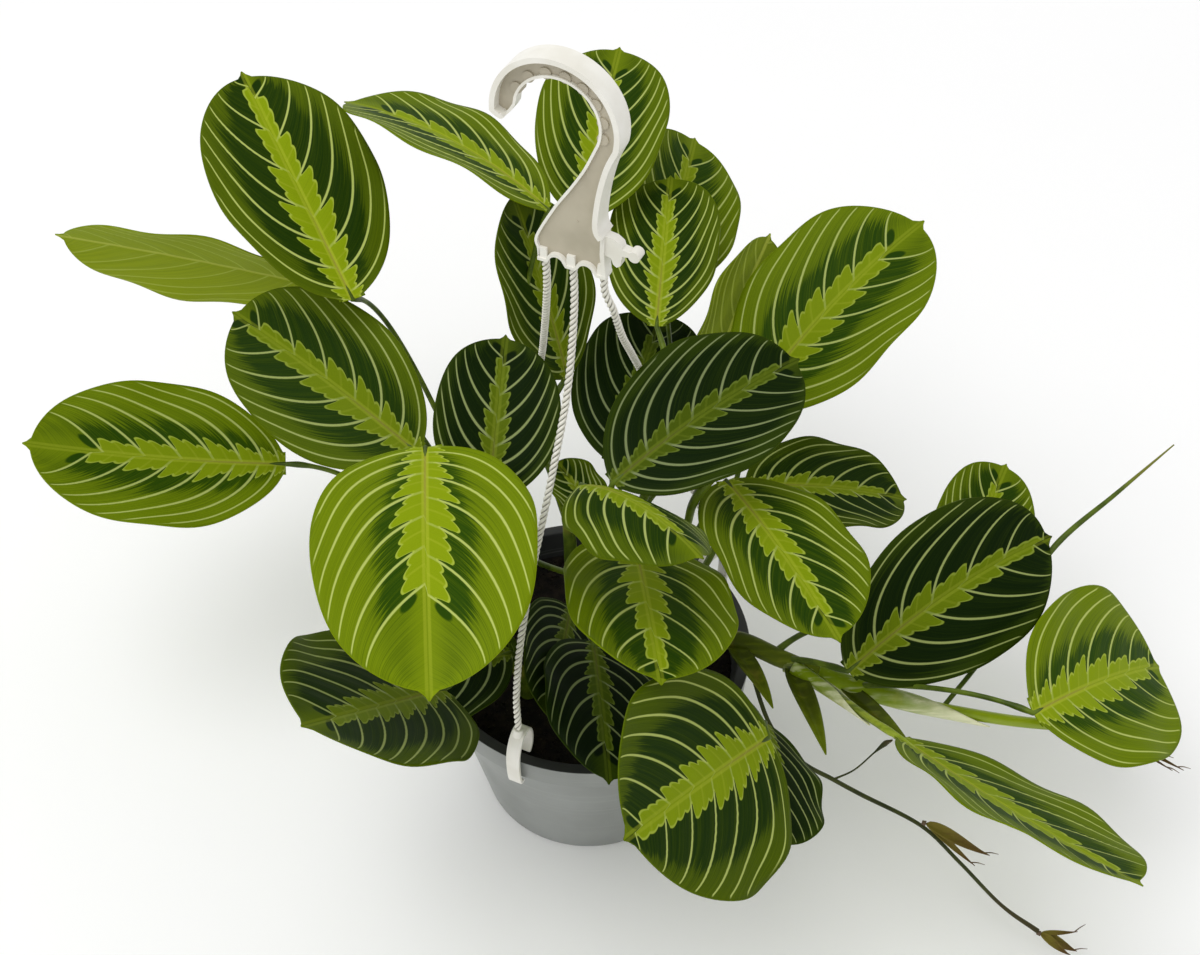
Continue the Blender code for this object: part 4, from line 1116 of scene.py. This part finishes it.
def turned_pot():
    shape = bmesh.new()
    corners = [shape.verts.new((MM * r, 0.0, MM * z)) for r, z in outside + inside[:-1]]
    edges = [shape.edges.new((a, b)) for a, b in zip(corners, [*corners[1:], corners[0]])
             if a.co.x > 0 or b.co.x > 0]
    bmesh.ops.spin(shape, geom=corners + edges, axis=(0, 0, 1), cent=(0, 0, 0), steps=POT_STEPS,
                   angle=math.tau)
    bmesh.ops.remove_doubles(shape, verts=shape.verts, dist=MERGE_WITHIN * MM)
    bmesh.ops.recalc_face_normals(shape, faces=shape.faces)
    return placed("pot_moulding", mesh_of("pot_moulding", shape))


def drilled(target):
    drills = bmesh.new()
    for i in range(DRAIN_HOLES):
        angle = math.tau * i / DRAIN_HOLES
        place = Vector((DRAIN_CIRCLE_R * math.cos(angle), DRAIN_CIRCLE_R * math.sin(angle), 0))
        bmesh.ops.create_cone(drills, cap_ends=True, segments=DRILL_SIDES, radius1=DRAIN_R * MM,
                              radius2=DRAIN_R * MM, depth=DRILL_LENGTH * MM,
                              matrix=Matrix.Translation(MM * place))
    cutter = placed("drills", mesh_of("drills", drills))
    cut = target.modifiers.new("drain holes", "BOOLEAN")
    cut.operation, cut.solver, cut.object = "DIFFERENCE", "EXACT", cutter
    target.data = evaluated_mesh(target)
    target.modifiers.clear()
    bpy.data.objects.remove(cutter)


pot = turned_pot()
drilled(pot)
pot.data.materials.clear()
pot.data.materials.append(POT_OUTSIDE)
pot.data.materials.append(POT_INSIDE)
for face in pot.data.polygons:
    middle = face.center / MM
    distance = math.hypot(middle.x, middle.y)
    within = distance < wall_radius(middle.z) - POT_WALL / 2 and middle.z > BASE_THICK / 2
    face.material_index = int(within or (face.normal.z > FACES_UP
                                      and middle.z > POT_HEIGHT - 1))
pot.data.shade_smooth()
pot.data.set_sharp_from_angle(angle=SHARP_FROM)
stand_in(pot, "pot")
print("pot:", len(pot.data.polygons), "faces")

# %% [markdown]
# ## The soil
#
# Little of the soil shows, but it is looked into from above: dark crumbs of bark and peat with a
# few pale grains. Its bed is a disc with an uneven top. Geometry Nodes strew crumbs over it:
# points are scattered on the top faces, each takes a small angular chip turned at random, and all
# become one mesh.

# %% Soil and its bed
def soil_material():
    made, tree = new_material("soil", 0.95, 0.2)
    lumps, grains = noise(tree, 240, 4), noise(tree, 900)
    colour = lumps.rise(0.35, 0.7).blend(rgb(9, 7, 5), rgb(30, 23, 16))
    colour = (grains.rise(0.66, 0.74) * 0.6).blend(colour, rgb(64, 54, 40))
    return coat(made, colour, lumps * 0.7 + grains * 0.3, 1.0, 0.8)


SOIL = soil_material()
SOIL_BUMP, SOIL_GAP, SOIL_FOOT = 0.44, 0.3, 1.95
SOIL_RINGS, SOIL_SEGMENTS = 22, 96


def soil_height(angle, share):
    waves = math.sin(5 * angle + 10 * share) + math.sin(3 * angle - 20 * share)
    rough = 0.35 * math.sin(41 * angle * share + 9 * share) * math.sin(60 * share)
    return SOIL_TOP + SOIL_BUMP * waves * min(1.0, 4 * share) + rough


def soil_bed():
    shape = bmesh.new()
    angles = [math.tau * i / SOIL_SEGMENTS for i in range(SOIL_SEGMENTS)]
    edge, foot = wall_radius(SOIL_TOP) - POT_WALL - SOIL_GAP, wall_radius(2.0) - POT_WALL - 0.4
    shares = [ring / SOIL_RINGS for ring in range(1, SOIL_RINGS + 1)]
    rings = [(MM * share * edge, [soil_height(a, share) for a in angles]) for share in shares]
    rings.append((MM * foot, [SOIL_FOOT] * SOIL_SEGMENTS))
    loops = [[shape.verts.new((radius * math.cos(a), radius * math.sin(a), MM * height))
              for a, height in zip(angles, heights)] for radius, heights in rings]
    middle = shape.verts.new((0, 0, MM * SOIL_TOP))
    for i in range(SOIL_SEGMENTS):
        j = (i + 1) % SOIL_SEGMENTS
        shape.faces.new((middle, loops[0][i], loops[0][j]))
        for inner, outer in zip(loops, loops[1:]):
            shape.faces.new((inner[i], outer[i], outer[j], inner[j]))
    shape.faces.new(list(reversed(loops[-1])))
    mesh = mesh_of("soil_bed", shape)
    mesh.materials.append(SOIL)
    mesh.shade_smooth()
    return placed("soil_bed", mesh)


# %% The tree that strews crumbs on faces that look up
CRUMBS_PER_M2, CRUMB_R, CRUMB_SEED = 90000.0, 1.5, 4
CRUMB_LEAST, CRUMB_MOST = (0.25, 0.25, 0.15), (1.0, 0.7, 0.5)


def crumb_tree():
    tree, given = new_tree("strew_crumbs", Density=CRUMBS_PER_M2, Crumb_Size=CRUMB_R * MM,
                           Seed=CRUMB_SEED)
    facing = add(tree, "ShaderNodeSeparateXYZ",
                 {0: add(tree, "GeometryNodeInputNormal").outputs[0]})
    looks_up = add(tree, "FunctionNodeCompare", {0: facing.outputs["Z"], 1: 0.5},
                   operation="GREATER_THAN")
    points = add(tree, "GeometryNodeDistributePointsOnFaces",
                 {"Mesh": given["Geometry"], "Selection": looks_up.outputs[0],
                  "Density": given["Density"], "Seed": given["Seed"]})
    crumb = add(tree, "GeometryNodeMeshIcoSphere",
                {"Subdivisions": 1, "Radius": given["Crumb_Size"]})
    turned, sized = (add(tree, "FunctionNodeRandomValue",
                         {"Min": least, "Max": most, "Seed": given["Seed"]},
                         data_type="FLOAT_VECTOR").outputs[0]
                     for least, most in (((0,) * 3, (math.tau,) * 3), (CRUMB_LEAST, CRUMB_MOST)))
    strewn = add(tree, "GeometryNodeInstanceOnPoints",
                 {"Points": points.outputs["Points"], "Instance": crumb.outputs["Mesh"],
                  "Rotation": turned, "Scale": sized})
    return finish_tree(tree, strewn.outputs[0], given, smooth=False)


bed = soil_bed()
crumbs = run_tree(placed("bed_copy", bed.data.copy()), crumb_tree(), "soil_crumbs", Finish=SOIL)
for piece in (bed, crumbs):
    stand_in(piece, "soil")
print("soil:", len(crumbs.data.polygons), "crumb faces")

# %% [markdown]
# ## Hook and clips
#
# The hook is one moulding: a thin web with a broad flange round its outer edge, low rims along its
# other edges, half-round bumps inside the arc and a short spur with a ball. Each of these is a
# flat shape in the hook's own plane, thickened by its own depth. A clip is a flat strap bent round
# the lip. A Bevel rounds every edge, because no moulded edge is sharp.

# %% Plastics for the hook and the clips
HOOK_PLASTIC = plastic_with_grain("hook_plastic", rgb(238, 236, 228), rgb(226, 223, 212), 0.36, 500)
# the web's beige is partly the thin plastic's own tint and partly painted shade for its recess
# between the flange and the rims
WEB_PLASTIC_SHADED = plastic_with_grain("web_plastic_painted_shade", rgb(186, 178, 158), rgb(172, 164, 144), 0.5, 700)

# %% The hook's lines: x across and z up in its own plane
HOOK_DEPTH, HOOK_WEB, HOOK_FOOT = 9.0, 2.2, 291.0
ARC_X, ARC_Z, ARC_OUTER, ARC_INNER = -12.0, 351.0, 24.0, 15.5
BALL = (17.2, 304.0)


def arc(x, z, radius, start, end, steps):
    """Points on a circle, from one angle to another in degrees."""
    angles = (math.radians(start + (end - start) * i / steps) for i in range(steps + 1))
    return [(x + radius * math.cos(a), z + radius * math.sin(a)) for a in angles]


def softened(points, spacing=0.8):
    """The same line with its corners rounded."""
    return [(p.x, p.z) for p in smooth_route([(x, 0, z) for x, z in points], spacing)]


TOP_EDGE = arc(ARC_X, ARC_Z, ARC_OUTER, -12, 184, 56)
TIP_EDGE = softened([TOP_EDGE[-1], (-34.6, 348.2), (-31.8, 347.2), (-29.4, 349.2),
                     (-27.4, 352.4)])[1:]
THROAT_EDGE = arc(ARC_X, ARC_Z, ARC_INNER, 168, -26, 44)
LEFT_EDGE = softened([THROAT_EDGE[-1], (-2.5, 334.1), (-8.2, 324.2), (-14.0, 314.8),
                      (-20.8, 300.9), (-20.2, 295.5), (-19.9, HOOK_FOOT)])[1:]
BOTTOM_EDGE = [(-16.1, HOOK_FOOT), *arc(-12.5, 291.6, 2.8, 160, 20, 8), (-8.9, HOOK_FOOT),
               (-5.1, HOOK_FOOT), *arc(-1.0, 291.6, 2.9, 160, 20, 8), (3.1, HOOK_FOOT),
               (6.9, HOOK_FOOT)]
SPUR_EDGE = [(6.0, 301.4), (8.4, 300.6), (9.2, 298.2), (10.6, 297.2), (12.0, 298.2), (12.6, 302.6),
             (15.0, 303.0), *arc(*BALL, 2.0, -150, 150, 16), (15.0, 305.2), (12.6, 305.6),
             (12.0, 307.4), (9.6, 309.0), (6.2, 309.6)]
RIGHT_EDGE = softened([SPUR_EDGE[-1], (4.6, 312.0), (4.4, 317.0), (5.7, 327.4), (8.2, 338.0),
                       TOP_EDGE[0]])


# %% Flat shapes with a depth
ROD_SIDES, BEVEL_STEPS, BEVEL_FROM = 28, 3, math.radians(40)


def offset_line(line, distance):
    """The line moved to its left."""
    line = [Vector(p) for p in line]
    moved = []
    for before, here, after in zip([line[0], *line], line, [*line[1:], line[-1]]):
        along = (after - before).normalized()
        moved.append(here + distance * Vector((-along.y, along.x)))
    return moved


def strip_shape(line, thickness):
    """A closed outline along a line, as thick as asked on its left-hand side."""
    return [*(Vector(p) for p in line), *reversed(offset_line(line, thickness))]


def add_plate(shape, outline, half_depth, place, finish):
    """Adds the prism of an outline to a mesh; `place` turns (x, z, depth) into a point."""
    rings = [[shape.verts.new(MM * place(x, z, depth)) for x, z in outline]
             for depth in (-half_depth, half_depth)]
    faces = [shape.faces.new(rings[0]), shape.faces.new(list(reversed(rings[1])))]
    for i, (a, b) in enumerate(zip(*rings)):
        j = (i + 1) % len(outline)
        faces.append(shape.faces.new((rings[0][j], a, b, rings[1][j])))
    for face in faces:
        face.material_index = finish


def moulding(name, node, plates, place, edge=0.4, rods=()):
    """One object from plates (outline, half depth, finish) and rods (foot, head, radii)."""
    shape = bmesh.new()
    for outline, half_depth, finish in plates:
        add_plate(shape, outline, half_depth, place, finish)
    for foot, head, low, high in rods:
        axis = head - foot
        turned = axis.to_track_quat("Z", "Y").to_matrix().to_4x4()
        bmesh.ops.create_cone(shape, cap_ends=True, segments=ROD_SIDES, radius1=low * MM,
                              radius2=high * MM, depth=axis.length * MM,
                              matrix=Matrix.Translation(MM * (foot + head) / 2) @ turned)
    bmesh.ops.recalc_face_normals(shape, faces=shape.faces)
    mesh = mesh_of(name, shape)
    mesh.materials.append(HOOK_PLASTIC)
    mesh.materials.append(WEB_PLASTIC_SHADED)
    mesh.shade_smooth()
    made = placed(name, mesh)
    bevel = made.modifiers.new("rounded edges", "BEVEL")
    bevel.width, bevel.segments = edge * MM, BEVEL_STEPS
    bevel.limit_method, bevel.angle_limit = "ANGLE", BEVEL_FROM
    bevel.harden_normals = True
    stand_in(made, node)


# %% Build the hook
BUMP_TURNS, BUMP_R = (152, 128, 104, 80, 57, 34, 11, -10), 2.1
outline = (TOP_EDGE + TIP_EDGE + THROAT_EDGE[1:] + LEFT_EDGE + BOTTOM_EDGE + SPUR_EDGE
           + RIGHT_EDGE[1:-1])
plates = [
    # the web and the flange, the low rims, the spur with its ball, and a dimple
    (offset_line(outline, 0.5), HOOK_WEB / 2, 1),
    (strip_shape(RIGHT_EDGE + TOP_EDGE[1:] + TIP_EDGE[:8], 2.0), HOOK_DEPTH / 2, 0),
    (strip_shape([*TIP_EDGE[4:], *THROAT_EDGE[1:], *LEFT_EDGE], 1.0), 2.2, 0),
    (strip_shape([LEFT_EDGE[-1], *BOTTOM_EDGE], 1.3), 2.8, 0),
    (strip_shape([BOTTOM_EDGE[-1], SPUR_EDGE[0], SPUR_EDGE[-1]], 1.6), 2.6, 0),
    ([(4.6, 301.4), *SPUR_EDGE[1:-1], (4.6, 309.6)], 1.8, 0),
    (arc(*BALL, 2.2, 0, 345, 23), 2.2, 0),
    (arc(-5.0, 311.5, 0.5, 0, 330, 11), HOOK_WEB / 2 + 0.2, 1),
]
for turn in BUMP_TURNS:
    x, z = arc(ARC_X, ARC_Z, ARC_INNER + 1.4, turn, turn, 1)[0]
    plates.append((arc(x, z, BUMP_R, 0, 345, 23), HOOK_WEB / 2 + 0.6, 1))
for x in SOCKETS.values():
    plates.append(([(x - 1.9, HOOK_FOOT), (x + 1.9, HOOK_FOOT), (x + 1.5, 296.5),
                    (x - 1.5, 296.5)], 2.2, 0))
moulding("hook_moulding", "hanger_hook", plates, in_hook_plane)
print("hook:", len(plates), "flat shapes")

# %% Build the clips
CLIP_LINE = [(69.4, 75.8), (71.4, 76.4), (72.4, 80.0), (73.1, 87.0), (73.0, 93.5), (71.4, 99.2),
             (68.2, 103.2), (64.6, 103.6), (61.8, 100.6), (60.8, 95.6), (61.4, 90.6), (63.6, 87.6)]
CLIP_WIDTH, CLIP_THICK, CLIP_BOSS_R = 6.0, 1.6, 2.3
strap = strip_shape(offset_line(softened(CLIP_LINE), -CLIP_THICK / 2), CLIP_THICK)
for side, degrees in CLIP_TURNS.items():
    out, beside = round_the_pot(1, 0, degrees), round_the_pot(1, 0, degrees + 90)
    foot, head = (round_the_pot(*end, degrees) for end in (BOSS_FOOT, BOSS_HEAD))
    moulding(f"clip_{side}", f"hanger_clip_{side}", [(strap, CLIP_WIDTH / 2, 0)],
             lambda r, z, depth: r * out + depth * beside + Vector((0, 0, z)),
             0.5, [(foot - Vector((0, 0, 0.4)), head, CLIP_BOSS_R, CLIP_BOSS_R - 0.3)])
print("clips:", len(CLIP_TURNS))

# %% [markdown]
# ## The studio
#
# The plant stands on a plain white sweep. A wide, very soft sun above and to the left gives the
# leaves their light side without darkening any part of the sweep, a large lamp adds a little
# sheen, and an even white sky fills the shadows.

# %% Floor, lamps and sky
def plain_floor():
    mesh = bpy.data.meshes.new("floor")
    mesh.from_pydata([(-4, -4, 0), (4, -4, 0), (4, 6, 0), (-4, 6, 0)], [], [(0, 1, 2, 3)])
    finish, tree = new_material("white_sweep", 0.75, 0.2)
    coat(finish, noise(tree, 3.0).blend((0.94, 0.94, 0.94, 1), (0.965, 0.965, 0.965, 1)))
    mesh.materials.append(finish)
    placed("floor", mesh)


def light(name, kind, track, **settings):
    """A lamp whose light falls along its own -Z, so its +Z is turned towards `track`."""
    lamp = bpy.data.lights.new(name, kind)
    for key, value in settings.items():
        setattr(lamp, key, value)
    made = placed(name, lamp)
    made.rotation_euler = Vector(track).to_track_quat("Z", "Y").to_euler()
    return made


SHEEN_AT, SHEEN_AIM = Vector((-0.5, -0.2, 1.2)), Vector((0, 0, 0.15))
SKY_STRENGTH = 0.74
plain_floor()
light("key", "SUN", (-0.3, -0.25, 1.0), energy=0.9, angle=math.radians(50))
light("sheen", "AREA", SHEEN_AT - SHEEN_AIM, size=0.6, energy=2).location = SHEEN_AT
scene.world = bpy.data.worlds.new("sky")
scene.world.use_nodes = True
sky = scene.world.node_tree.nodes["Background"].inputs
sky["Color"].default_value, sky["Strength"].default_value = (1, 1, 1, 1), SKY_STRENGTH
scene.view_settings.view_transform = "Standard"
